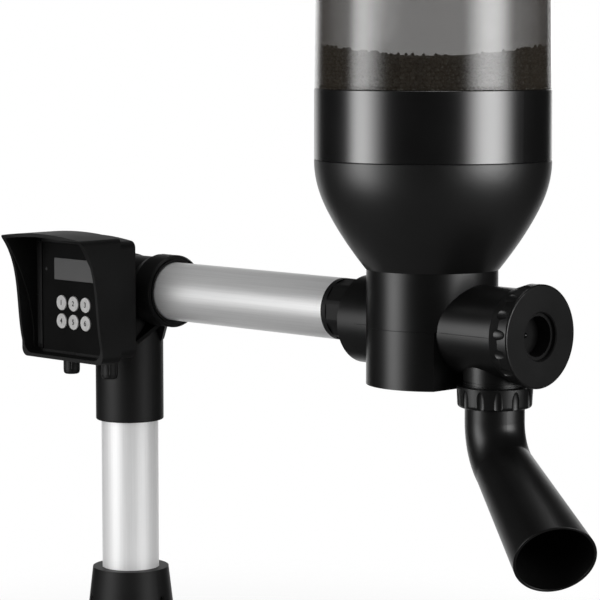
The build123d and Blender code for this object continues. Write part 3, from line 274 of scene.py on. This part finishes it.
# Turned or drawn metal of the fastenings, motor and shaft.
def plainMetal(name, dark, light, roughness, metallic=1.0):
    wear = {
        "cloudScale": 120.0, "scratchScale": (2400.0, 2400.0, 300.0),
        "roughnessSpread": 0.12, "depth": 3e-6,
    }
    finish = Finish(name, {"Metallic": metallic})
    place = finish.place()
    cloud = finish.noise(place, wear["cloudScale"], detail=3.0)
    scratches = finish.noise(finish.stretched(place, wear["scratchScale"]))
    finish.drive({
        "Base Color": finish.blendColours(finish.step(cloud, low=0.3, high=0.7), dark, light),
        "Roughness": roughness + wear["roughnessSpread"] * scratches,
    })
    finish.bump(scratches, wear["depth"])
    return finish.material


# Smoky acrylic: less clear at a grazing look, faint mould streaks down its height.
def smokyAcrylic():
    look = {
        "tint": grey(0.026, 0.28), "haze": grey(0.033, 0.28), "cover": 0.37, "grazingCover": 0.86,
        "specular": 1.0, "roughness": 0.16, "roughnessSpread": 0.04, "coatRoughness": 0.12,
        "streakScale": (160.0, 160.0, 6.0), "streakCover": 0.02,
    }
    constants = {
        "Specular IOR Level": look["specular"], "Coat Weight": 1.0, "Coat Roughness": look["coatRoughness"],
    }
    finish = Finish("smokyAcrylic", constants)
    place = finish.place()
    streaks = finish.noise(finish.stretched(place, look["streakScale"]))
    facing = finish.add("ShaderNodeLayerWeight", None, {"Blend": 0.5}, 1)
    share = finish.step(streaks, low=0.3, high=0.7)
    grazing = (look["grazingCover"] - look["cover"]) * facing**2.0
    finish.drive({
        "Base Color": finish.blendColours(share, look["tint"], look["haze"]),
        "Roughness": look["roughness"] + look["roughnessSpread"] * streaks,
        "Alpha": look["cover"] + grazing + look["streakCover"] * streaks,
    })
    return finish.material


# The display's window: a grey that drifts a little, and a fine change of gloss.
def displayGlass():
    look = {
        "dark": grey(0.080), "light": grey(0.098), "shadeScale": 30.0, "dotScale": (1400.0, 1400.0, 1400.0),
        "roughness": 0.3, "roughnessSpread": 0.06,
    }
    finish = Finish("displayGlass", {"Specular IOR Level": 0.6, "Coat Weight": 0.3, "Coat Roughness": 0.1})
    place = finish.place()
    dots = finish.noise(finish.stretched(place, look["dotScale"]), detail=1.0)
    shade = finish.noise(place, look["shadeScale"], detail=1.0)
    finish.drive({
        "Base Color": finish.blendColours(shade, look["dark"], look["light"]),
        "Roughness": look["roughness"] + look["roughnessSpread"] * dots,
    })
    return finish.material


def displayBoard():
    look = {
        "dark": (0.010, 0.045, 0.030, 1.0), "light": (0.014, 0.065, 0.040, 1.0), "speckScale": 500.0,
        "roughness": 0.35, "roughnessSpread": 0.1,
    }
    finish = Finish("displayBoard", {"Specular IOR Level": 0.5})
    speck = finish.noise(finish.place(), look["speckScale"])
    finish.drive({
        "Base Color": finish.blendColours(speck, look["dark"], look["light"]),
        "Roughness": look["roughness"] + look["roughnessSpread"] * speck,
    })
    return finish.material


# Green board: raised lighter lines where copper runs under the lacquer, about 5 mm apart.
def circuitGreen():
    look = {
        "bare": (0.008, 0.060, 0.028, 1.0), "copper": (0.020, 0.110, 0.045, 1.0), "cellScale": 180.0,
        "uneven": 0.6, "roughness": 0.32, "roughnessSpread": 0.1, "depth": 2e-5,
    }
    finish = Finish("circuitGreen", {"Specular IOR Level": 0.5, "Coat Weight": 0.3})
    cells = finish.add(
        "ShaderNodeTexVoronoi", {"feature": "DISTANCE_TO_EDGE", "distance": "EUCLIDEAN"},
        {"Vector": finish.place(), "Scale": look["cellScale"], "Randomness": look["uneven"]},
    )
    runs = 1.0 - finish.step(cells, low=0.03, high=0.08)
    finish.drive({
        "Base Color": finish.blendColours(runs, look["bare"], look["copper"]),
        "Roughness": look["roughness"] + look["roughnessSpread"] * runs,
    })
    finish.bump(runs, look["depth"])
    return finish.material


def statusLens():
    look = {
        "dark": grey(0.030), "light": grey(0.055), "coreScale": 900.0,
        "roughness": 0.2, "roughnessSpread": 0.08,
    }
    finish = Finish("statusLens", {"Specular IOR Level": 0.6, "Coat Weight": 0.4})
    core = finish.noise(finish.place(), look["coreScale"], detail=1.0)
    finish.drive({
        "Base Color": finish.blendColours(core, look["dark"], look["light"]),
        "Roughness": look["roughness"] + look["roughnessSpread"] * core,
    })
    return finish.material


# Pellets: dark grey with a green cast, each with its own tone, which is kept with its points. The core has no
# tone, so it takes the near-black gap colour: painted shade that stands for the shadow between the pellets.
def pelletFeed():
    look = {
        # the gap colour is painted shade: the core, which has no tone, takes it as the shadow between the
        # pellets
        "paintedGapShade": grey(0.002), "pellet": (0.115, 0.120, 0.100, 1.0), "dustScale": 1800.0,
        "roughness": 0.26, "roughnessSpread": 0.12, "depth": 2e-5,
    }
    finish = Finish("pelletFeed", {"Specular IOR Level": 0.9})
    tone = finish.add("ShaderNodeAttribute", {"attribute_name": "tone"}, output=2)
    dust = finish.noise(finish.place(), look["dustScale"])
    finish.drive({
        "Base Color": finish.blendColours(tone, look["paintedGapShade"], look["pellet"]),
        "Roughness": look["roughness"] + look["roughnessSpread"] * dust,
    })
    finish.bump(dust, look["depth"])
    return finish.material


def numberInk():
    look = {
        "dark": grey(0.010), "light": grey(0.018), "coverScale": 3000.0,
        "roughness": 0.5, "roughnessSpread": 0.1,
    }
    finish = Finish("numberInk", {"Specular IOR Level": 0.3})
    cover = finish.noise(finish.place(), look["coverScale"], detail=1.0)
    finish.drive({
        "Base Color": finish.blendColours(cover, look["dark"], look["light"]),
        "Roughness": look["roughness"] + look["roughnessSpread"] * cover,
    })
    return finish.material


pipeLooks = {
    "post": {"dark": grey(0.87), "light": grey(0.95), "metallic": 0.45, "roughness": 0.50},
    "arm": {"dark": grey(0.80), "light": grey(0.90), "metallic": 0.62, "roughness": 0.42},
}
brass = {"dark": (0.42, 0.27, 0.10, 1.0), "light": (0.55, 0.37, 0.15, 1.0)}
slotFinish = {
    "black_shell": matteShell(),
    "hopper_black": satinBlack(),
    "pipe": anodisedPipe("anodisedPost", 2, pipeLooks["post"]),
    "hopper_smoke": smokyAcrylic(),
    "rubber": softRubber(),
    "steel": plainMetal("zincSteel", grey(0.42), grey(0.56), roughness=0.28),
    "black_screw": plainMetal("blackScrew", grey(0.012), grey(0.022), roughness=0.34, metallic=0.6),
    "keypad": keypadFilm(),
    "key_grey": paleKey(),
    "display": displayGlass(),
    "display_module": displayBoard(),
    "led": statusLens(),
    "board": circuitGreen(),
    "switch": switchBody(),
    "brass_bush": plainMetal("sinteredBrass", brass["dark"], brass["light"], roughness=0.3),
    "auger_plastic": augerWhite(),
    "feed": pelletFeed(),
}
gloss = glossBlack()
nodeFinish = {
    "arm_tube": anodisedPipe("anodisedArm", 0, pipeLooks["arm"]),
    "hopper_collar": gloss,
    "hopper_funnel": funnelBlack(),
    "hopper_lid": gloss,
}
for part in frame["record"]["subparts"]:
    node = frame["nodes"][part["node"]]
    for materialSlot in node.material_slots:
        materialSlot.material = nodeFinish.get(part["node"], slotFinish[part["material_slot"]])


# A mesh from arrays of points and faces; twin points are merged, which closes seams and poles.
def meshPiece(name, points, faces):
    mesh = bpy.data.meshes.new(name)
    mesh.from_pydata(np.asarray(points).reshape(-1, 3).tolist(), [], np.asarray(faces).tolist())
    form = bmesh.new()
    form.from_mesh(mesh)
    bmesh.ops.remove_doubles(form, verts=form.verts, dist=1e-6)
    bmesh.ops.recalc_face_normals(form, faces=form.faces)
    form.to_mesh(mesh)
    form.free()
    return smoothPiece(name, mesh)


def smoothPiece(name, mesh):
    mesh.polygons.foreach_set("use_smooth", [True] * len(mesh.polygons))
    piece = bpy.data.objects.new(name, mesh)
    scene.collection.objects.link(piece)
    return piece


# Gives a piece its finish, the named slot's finish unless one is given, and the body that it rides on.
def dress(piece, body, slotName, material=None):
    piece.data.materials.append(material or slotFinish[slotName])
    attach(piece, body)
    return piece


# Faces of a grid of points, each joining two neighbours in a row with two in the next; each row is closed.
def gridFaces(rows, columns):
    row, column = np.meshgrid(np.arange(rows - 1), np.arange(columns), indexing="ij")
    after = (column + 1) % columns
    near, far = row * columns, (row + 1) * columns
    corners = np.stack([near + column, near + after, far + after, far + column], -1)
    return corners.reshape(-1, 4)


# Points of a revolved form: each profile point's radius and height, carried round an upright axis.
def turnedPoints(axis, radii, heights, count):
    angle = np.linspace(0, 2 * np.pi, count, endpoint=False)
    x = axis[0] + np.outer(radii, np.cos(angle))
    y = axis[1] + np.outer(radii, np.sin(angle))
    return np.stack([x, y, np.repeat(np.asarray(heights)[:, None], count, 1)], -1)


def middle(node):
    low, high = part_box(node)
    return (low + high) / 2


# Where the hopper stands, read from the frame.
tubeWall = 2.7 * mm
hopper = {
    "axis": middle("hopper_tube"),
    "bore": (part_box("hopper_tube")[1].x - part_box("hopper_tube")[0].x) / 2 - tubeWall,
    "seam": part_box("hopper_collar")[1].z,
    "feedTop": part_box("feed_pellets")[1].z,
    "feedLow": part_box("feed_pellets")[0].z,
}


# The feed: a core painted near black as the shade between the pellets, its top dished, with loose pellets on
# every face that shows.
feedLook = {
    "seed": 11,
    "pitch": 3.3 * mm,
    "rowShare": 0.88,  # of the pitch, from ring to ring up the side
    "latticeShare": 0.866,  # of the pitch, from row to row on the top
    "spareRows": 2,  # beyond the hopper's wall
    "spareColumns": 6,
    "sizes": (2.9 * mm, 3.5 * mm),
    "squash": (0.86, 1.0),
    "tones": (0.25, 1.0),
    "wallGap": 0.4 * mm,
    "dish": 8.0 * mm,
    "valley": 8.5 * mm,
    "valleyTurn": -47.0,  # degrees from +X
    "skin": 3.4 * mm,  # core's face behind the outer pellets' centres
    "shake": 0.55 * mm,
    "topShake": 0.9 * mm,
    "underSeam": 2.0 * mm,  # first ring of pellets below the seam
    "underTop": 1.0 * mm,  # last pellets of the side below the top
    "strays": 46,
    "strayReach": (0.55, 0.98),  # of the top's area
    "strayRise": 2.6 * mm,
}
pelletRadius = hopper["bore"] - feedLook["sizes"][1] / 2 - feedLook["wallGap"]
random = np.random.default_rng(feedLook["seed"])


# Height of the top at offsets from the axis: dished by the square of the radius, less a valley that deepens
# with the square of the distance along one diameter.
def dishHeight(x, y):
    turn = math.radians(feedLook["valleyTurn"])
    share = (x**2 + y**2) / pelletRadius**2
    along = (x * math.cos(turn) + y * math.sin(turn)) ** 2 / pelletRadius**2
    return hopper["feedTop"] - feedLook["dish"] * (1 - share) - feedLook["valley"] * along


# Core: a turned neck, a bowl whose radius grows with a quarter sine, an upright side, and the dished top a
# little below the pellets.
def feedHeart():
    heart = {
        "neckRadius": 30.0 * mm,
        "neckRise": 12.0 * mm,
        "floorGap": 1.0 * mm,
        "bowlInset": 3.0 * mm,
        "shoulderDrop": 62.0 * mm,  # below the seam, where the funnel starts to close
        "sideDrop": 20.0 * mm,  # below the seam, where the side ends
        "underSkin": 0.6,  # of the skin, from the pellets' centres to the core's top
        "bowlRows": 15,
        "topRows": 14,
        "columns": 96,
    }
    reach = pelletRadius - feedLook["skin"]
    lowest = hopper["feedLow"] + heart["floorGap"]
    shoulder = hopper["seam"] - heart["shoulderDrop"]
    side = hopper["seam"] - heart["sideDrop"]
    climb = np.linspace(0, 1, heart["bowlRows"])
    swell = reach - heart["bowlInset"] - heart["neckRadius"]
    bowl = heart["neckRadius"] + swell * np.sin(climb * np.pi / 2)
    bowlHeights = lowest + heart["neckRise"] + (shoulder - lowest - heart["neckRise"]) * climb
    inward = np.linspace(1, 0, heart["topRows"])
    radii = np.concatenate([[0, heart["neckRadius"]], bowl, [reach], reach * inward])
    heights = np.concatenate([[lowest, lowest], bowlHeights, [side], np.full(heart["topRows"], side)])
    points = turnedPoints(hopper["axis"], radii, heights, heart["columns"])
    top = points[-heart["topRows"]:]
    x, y = top[..., 0] - hopper["axis"].x, top[..., 1] - hopper["axis"].y
    top[..., 2] = dishHeight(x, y) - feedLook["skin"] * heart["underSkin"]
    piece = meshPiece("feedHeart", points, gridFaces(len(radii), heart["columns"]))
    return dress(piece, "frame", "feed")


# A pellet: an octahedron whose edges are halved once, pushed out to a ball of 18 points.
def pelletShape():
    axes = np.concatenate([np.eye(3), -np.eye(3)])
    order = [(0, 1, 2), (1, 3, 2), (3, 4, 2), (4, 0, 2), (1, 0, 5), (3, 1, 5), (4, 3, 5), (0, 4, 5)]
    corners = axes[np.array(order)]
    halves = (corners + np.roll(corners, -1, 1)) / 2
    halves /= np.linalg.norm(halves, axis=2, keepdims=True)
    first, second, third = corners[:, 0], corners[:, 1], corners[:, 2]
    ab, bc, ca = halves[:, 0], halves[:, 1], halves[:, 2]
    triangles = np.stack([
        np.stack([first, ab, ca], 1), np.stack([ab, second, bc], 1),
        np.stack([ca, bc, third], 1), np.stack([ab, bc, ca], 1),
    ], 1).reshape(-1, 3, 3)
    points, faces = np.unique(triangles.reshape(-1, 3).round(6), axis=0, return_inverse=True)
    return points, faces.reshape(-1, 3)


# Many pellets in one mesh: the ball times each pellet's size, turned about its upright axis, plus its centre.
def pelletPiece(name, centres):
    ball, faces = pelletShape()
    count = len(centres)
    size = random.uniform(*feedLook["sizes"], count) / 2
    squash = random.uniform(*feedLook["squash"], (count, 3))
    turn = random.uniform(0, 2 * np.pi, count)
    cosine, sine = np.cos(turn)[:, None], np.sin(turn)[:, None]
    shaped = ball[None] * squash[:, None]
    turned = np.stack([
        shaped[..., 0] * cosine - shaped[..., 1] * sine,
        shaped[..., 0] * sine + shaped[..., 1] * cosine,
        shaped[..., 2],
    ], -1)
    points = turned * size[:, None, None] + centres[:, None]
    allFaces = faces[None] + (np.arange(count) * len(ball))[:, None, None]
    mesh = bpy.data.meshes.new(name)
    mesh.from_pydata(points.reshape(-1, 3).tolist(), [], allFaces.reshape(-1, 3).tolist())
    tone = np.repeat(random.uniform(*feedLook["tones"], count), len(ball))
    mesh.attributes.new("tone", "FLOAT", "POINT").data.foreach_set("value", tone.astype(np.float32))
    return dress(smoothPiece(name, mesh), "frame", "feed")


# Centres of pellets at offsets from the hopper's axis.
def hopperPlaces(x, y, height):
    return np.stack([hopper["axis"].x + x, hopper["axis"].y + y, height], -1)


# Side pellets: rings on a cylinder behind the clear wall, each half a pitch round from the last, then shaken.
def sidePellets(name, inset, phase):
    radius = pelletRadius - inset
    rise = feedLook["pitch"] * feedLook["rowShare"]
    lowest = hopper["seam"] - feedLook["underSeam"]
    rings = int((hopper["feedTop"] - lowest) / rise)
    around = int(2 * np.pi * radius / feedLook["pitch"])
    ring, index = np.meshgrid(np.arange(rings), np.arange(around), indexing="ij")
    shake = random.normal(0, feedLook["shake"], (3, rings, around))
    angle = (index + 0.5 * (ring % 2) + phase) * 2 * np.pi / around + shake[0] / radius
    height = lowest + ring * rise + shake[1]
    depth = radius - np.abs(shake[2])
    x, y = depth * np.cos(angle), depth * np.sin(angle)
    shown = height < dishHeight(x, y) - feedLook["underTop"]
    return pelletPiece(name, hopperPlaces(x, y, height)[shown])


# Top pellets: a six-sided lattice laid over the top's height, shaken a little each way.
def topPellets():
    pitch = feedLook["pitch"]
    rowPitch = pitch * feedLook["latticeShare"]
    span = int(pelletRadius / rowPitch) + feedLook["spareRows"]
    wide = span + feedLook["spareColumns"]
    row, column = np.meshgrid(np.arange(-span, span + 1), np.arange(-wide, wide + 1), indexing="ij")
    lattice = np.stack([(column + 0.5 * (row % 2)) * pitch, row * rowPitch], -1).reshape(-1, 2)
    flat = lattice + random.normal(0, feedLook["shake"], lattice.shape)
    flat = flat[np.linalg.norm(flat, axis=1) < pelletRadius]
    lift = random.uniform(-1, 1, len(flat)) * feedLook["topShake"]
    return pelletPiece("topPellets", hopperPlaces(*flat.T, dishHeight(*flat.T) + lift))


# A few pellets that lie on the others, most of them by the wall.
def strayPellets():
    angle = random.uniform(0, 2 * np.pi, feedLook["strays"])
    radius = pelletRadius * np.sqrt(random.uniform(*feedLook["strayReach"], feedLook["strays"]))
    x, y = radius * np.cos(angle), radius * np.sin(angle)
    return pelletPiece("strayPellets", hopperPlaces(x, y, dishHeight(x, y) + feedLook["strayRise"]))


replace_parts(feedHeart(), "feed_pellets")
sidePellets("wallPellets", inset=0.0, phase=0.0)
sidePellets("backingPellets", inset=2.4 * mm, phase=0.35)
topPellets()
strayPellets()
print("feed laid in the hopper")


# A thin moulding bead: a ring of points carried along a path, square to it, its two ends drawn to a point.
def beadPiece(name, path, radius):
    sides = 8
    ahead = np.gradient(path, axis=0)
    ahead /= np.linalg.norm(ahead, axis=1, keepdims=True)
    up = np.tile([0.0, 0.0, 1.0], (len(path), 1))
    side = np.cross(ahead, up)
    angle = np.linspace(0, 2 * np.pi, sides, endpoint=False)
    swell = np.full(len(path), radius)
    swell[[0, -1]] = 0.0
    ring = side[:, None] * np.cos(angle)[None, :, None] + up[:, None] * np.sin(angle)[None, :, None]
    points = path[:, None] + swell[:, None, None] * ring
    return dress(meshPiece(name, points, gridFaces(len(path), sides)), "frame", "hopper_black")


# The housing's parting line, level with the auger's axis: an arc round each side of the body, and a line
# along each side of both barrels.
def partingBeads():
    bead = {
        "radius": 0.22 * mm, "firstAngle": 46.5, "lastAngle": 134.0, "arcSteps": 60,
        "barrel": 35.0 * mm, "endGap": 1.0 * mm, "lineSteps": 12,
    }
    low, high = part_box("auger_housing")
    level = middle("auger").z
    body = (high.y - low.y) / 2
    centre = hopper["axis"]
    leave = math.sqrt(body**2 - bead["barrel"] ** 2)
    barrels = {
        "outer": (centre.x + leave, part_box("end_cap_nut")[0].x),
        "inner": (low.x + bead["endGap"], centre.x - leave),
    }
    angle = np.radians(np.linspace(bead["firstAngle"], bead["lastAngle"], bead["arcSteps"]))
    sides = {"front": -1, "back": 1}
    for side, sign in sides.items():
        x, y = centre.x + body * np.cos(angle), centre.y + sign * body * np.sin(angle)
        arc = np.stack([x, y, np.full_like(x, level)], -1)
        beadPiece(f"housingBead_{side}", arc, bead["radius"])
    for label, (start, end) in barrels.items():
        x = np.linspace(start, end, bead["lineSteps"])
        for side, sign in sides.items():
            y = np.full_like(x, centre.y + sign * bead["barrel"])
            line = np.stack([x, y, np.full_like(x, level)], -1)
            beadPiece(f"barrelBead_{label}_{side}", line, bead["radius"])


partingBeads()
print("parting beads laid")


# Plain numbers on the keys, each a thin raised print that moves with its key.
def keyNumbers():
    numeral = {"height": 6.2 * mm, "thick": 0.05 * mm, "bold": 0.14 * mm}
    ink = numberInk()
    for number in range(1, 7):
        low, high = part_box(f"button_{number}")
        curve = bpy.data.curves.new(f"keyNumber_{number}", "FONT")
        curve.body = str(number)
        curve.size = numeral["height"]
        curve.align_x = "CENTER"
        curve.align_y = "CENTER"
        curve.extrude = numeral["thick"]
        curve.offset = numeral["bold"]
        text = bpy.data.objects.new(f"keyText_{number}", curve)
        scene.collection.objects.link(text)
        bpy.context.view_layer.update()
        mesh = bpy.data.meshes.new_from_object(text.evaluated_get(bpy.context.evaluated_depsgraph_get()))
        bpy.data.objects.remove(text)
        centre = (low + high) / 2
        place = Matrix.Translation((centre.x, low.y, centre.z)) @ Matrix.Rotation(math.pi / 2, 4, "X")
        mesh.transform(place)
        mesh.materials.clear()
        piece = bpy.data.objects.new(f"keyNumber_{number}", mesh)
        scene.collection.objects.link(piece)
        dress(piece, f"key_{number}", "key_grey", ink)


keyNumbers()
print("key numbers printed")


# Studio: two tall soft boxes at the sides, a smaller one overhead, one behind for the back views. Each lies
# between two ends and is as wide as its rise the other way; swell and fade say over which share of its length
# its glow grows and dies.
softBoxes = {
    "leftBox": {
        "start": (-1.300, -1.500, 0.30), "end": (0.387, -1.106, 0.30), "rise": (0, 0, 1.28),
        "radiance": 4.0, "swell": (0.06, 0.575), "fade": (0.617, 1.0),
    },
    "rightBox": {
        "start": (2.814, -0.886, 0.35), "end": (2.295, 1.436, 0.35), "rise": (0, 0, 1.4),
        "radiance": 5.2, "swell": (0.0, 0.47), "fade": (0.56, 1.0),
    },
    "topBox": {
        "start": (-0.35, 0.1, 2.4), "end": (0.85, 0.1, 2.4), "rise": (0, 1.2, 0),
        "radiance": 3.2, "swell": (0.0, 0.3), "fade": (0.7, 1.0),
    },
    "backBox": {
        "start": (-0.368, 2.478, 0.8), "end": (-1.432, 1.922, 0.8), "rise": (0, 0, 1.4),
        "radiance": 1.4, "swell": (0.0, 0.3), "fade": (0.7, 1.0),
    },
}
boxEdges = {"foot": (0.0, 0.45), "head": (0.8, 1.0)}  # shares of the rise


# A lamp's power is four times its radiance times its area.
def softBox(name, look):
    start, end, rise = (Vector(look[key]) for key in ("start", "end", "rise"))
    across = end - start
    light = bpy.data.lights.new(name, "AREA")
    light.shape = "RECTANGLE"
    light.size = across.length
    light.size_y = rise.length
    light.energy = look["radiance"] * 4.0 * across.length * rise.length
    light.use_nodes = True
    board = Board(light.node_tree)
    spot = board.add("ShaderNodeNewGeometry", output=5)
    along = board.add("ShaderNodeSeparateXYZ", None, {"Vector": spot}, 0)
    up = board.add("ShaderNodeSeparateXYZ", None, {"Vector": spot}, 1)
    width = board.step(along, *look["swell"]) * (1.0 - board.step(along, *look["fade"]))
    height = board.step(up, *boxEdges["foot"]) * (1.0 - board.step(up, *boxEdges["head"]))
    board.plug(light.node_tree.nodes["Emission"].inputs["Strength"], width * height)
    lamp = bpy.data.objects.new(name, light)
    scene.collection.objects.link(lamp)
    sideways, upward = across.normalized(), rise.normalized()
    turn = Matrix((sideways, upward, sideways.cross(upward))).transposed().to_4x4()
    lamp.matrix_world = Matrix.Translation((start + end) / 2) @ turn
    lamp.visible_camera = False


# White where it is seen, mirrored or seen through; where it lights, a soft grey that is darker from below.
def layWorld():
    ambient = {"below": grey(0.10), "above": grey(0.58), "turn": (-0.5, 0.5)}
    world = bpy.data.worlds.new("studioWorld")
    scene.world = world
    world.use_nodes = True
    board = Board(world.node_tree)
    path = board.add("ShaderNodeLightPath").socket.node
    seen = ("Is Camera Ray", "Is Glossy Ray", "Is Transmission Ray")
    camera, mirror, through = (Wire(board, path.outputs[name]) for name in seen)
    shown = board.maths("MAXIMUM", board.maths("MAXIMUM", camera, mirror), through)
    upward = board.along(board.place(), (0.0, 0.0, 1.0))
    lighting = board.blendColours(board.step(upward, *ambient["turn"]), ambient["below"], ambient["above"])
    colour = board.blendColours(shown, lighting, grey(1.0))
    board.plug(world.node_tree.nodes["Background"].inputs["Color"], colour)


view = {
    "eye": Vector((1.740964, -1.493553, 0.553304)),
    "tilt": 84.23,
    "swing": 45.62,
    "lens": 157.04,
    "sensor": 36.0,
    "clipEnd": 50.0,
    "focus": Vector((0.25, 0.0, 0.35)),
}


# A dim ball that only mirrors see: the dark front of the studio, a little brighter below, open to the white
# behind the object.
def layShell():
    shell = {
        "radius": 4.5, "rows": 25, "columns": 48, "front": 0.012, "below": 0.085, "downward": (0.05, 0.6),
        "openInside": 15.0, "openOutside": 42.0,
    }
    slope = np.linspace(0, np.pi, shell["rows"])
    radii, heights = shell["radius"] * np.sin(slope), shell["radius"] * np.cos(slope)
    points = turnedPoints((0, 0, 0), radii, heights, shell["columns"])
    piece = meshPiece("studioShell", points, gridFaces(shell["rows"], shell["columns"]))
    away = (view["focus"] - view["eye"]).normalized()
    finish = Finish("shellGlow", {})
    direction = finish.add("ShaderNodeVectorMath", {"operation": "NORMALIZE"}, {0: finish.place()})
    edges = [math.cos(math.radians(shell[key])) for key in ("openOutside", "openInside")]
    opening = finish.step(finish.along(direction, tuple(away)), *edges)
    down = finish.step(finish.along(direction, (0.0, 0.0, -1.0)), *shell["downward"])
    strength = shell["front"] + (shell["below"] - shell["front"]) * down
    glow = finish.add("ShaderNodeEmission", None, {"Color": grey(1.0), "Strength": strength})
    clear = finish.add("ShaderNodeBsdfTransparent")
    mixed = finish.add("ShaderNodeMixShader", None, {0: opening, 1: glow, 2: clear})
    finish.plug(finish.tree.nodes["Material Output"].inputs["Surface"], mixed)
    finish.material.cycles.emission_sampling = "NONE"
    piece.data.materials.append(finish.material)
    piece.visible_camera = False
    piece.visible_diffuse = False
    piece.visible_transmission = False
    piece.visible_shadow = False


# A pale round floor that is lifted towards white where it is seen, and fades into the white behind it.
def layFloor():
    floor = {
        "centre": (0.1, 0.0, 0.0), "radius": 0.6, "drop": 0.2 * mm, "columns": 96,
        "solidTo": 0.16, "clearAt": 0.54, "colour": grey(0.86), "roughness": 0.9, "lift": 0.72,
    }
    radii = floor["radius"] * np.array([1.0, 0.5, 0.0])
    points = turnedPoints(floor["centre"], radii, np.zeros(3) - floor["drop"], floor["columns"])
    piece = meshPiece("floor", points, gridFaces(len(radii), floor["columns"]))
    finish = Finish("paleFloor", {
        "Base Color": floor["colour"], "Roughness": floor["roughness"], "Specular IOR Level": 0.0,
    })
    settings = {"operation": "DISTANCE"}
    out = finish.add("ShaderNodeVectorMath", settings, {0: finish.place(), 1: floor["centre"]}, 1)
    fade = finish.step(out, floor["solidTo"], floor["clearAt"])
    clear = finish.add("ShaderNodeBsdfTransparent")
    white = finish.add("ShaderNodeEmission", None, {"Color": grey(1.0), "Strength": 1.0})
    seen = finish.add("ShaderNodeLightPath", output=0) * floor["lift"]
    solid = Wire(finish, finish.shader.outputs[0])
    lifted = finish.add("ShaderNodeMixShader", None, {0: seen, 1: solid, 2: white})
    mixed = finish.add("ShaderNodeMixShader", None, {0: fade, 1: lifted, 2: clear})
    finish.plug(finish.tree.nodes["Material Output"].inputs["Surface"], mixed)
    piece.data.materials.append(finish.material)
    piece.visible_glossy = False


def layCamera():
    lens = bpy.data.cameras.new("camera")
    lens.lens = view["lens"]
    lens.sensor_width = view["sensor"]
    lens.clip_end = view["clipEnd"]
    camera = bpy.data.objects.new("camera", lens)
    camera.location = view["eye"]
    camera.rotation_euler = (math.radians(view["tilt"]), 0.0, math.radians(view["swing"]))
    scene.collection.objects.link(camera)
    scene.camera = camera


scene.view_settings.view_transform = "Standard"
for name, look in softBoxes.items():
    softBox(name, look)
layWorld()
layShell()
layFloor()
layCamera()
print("studio laid")
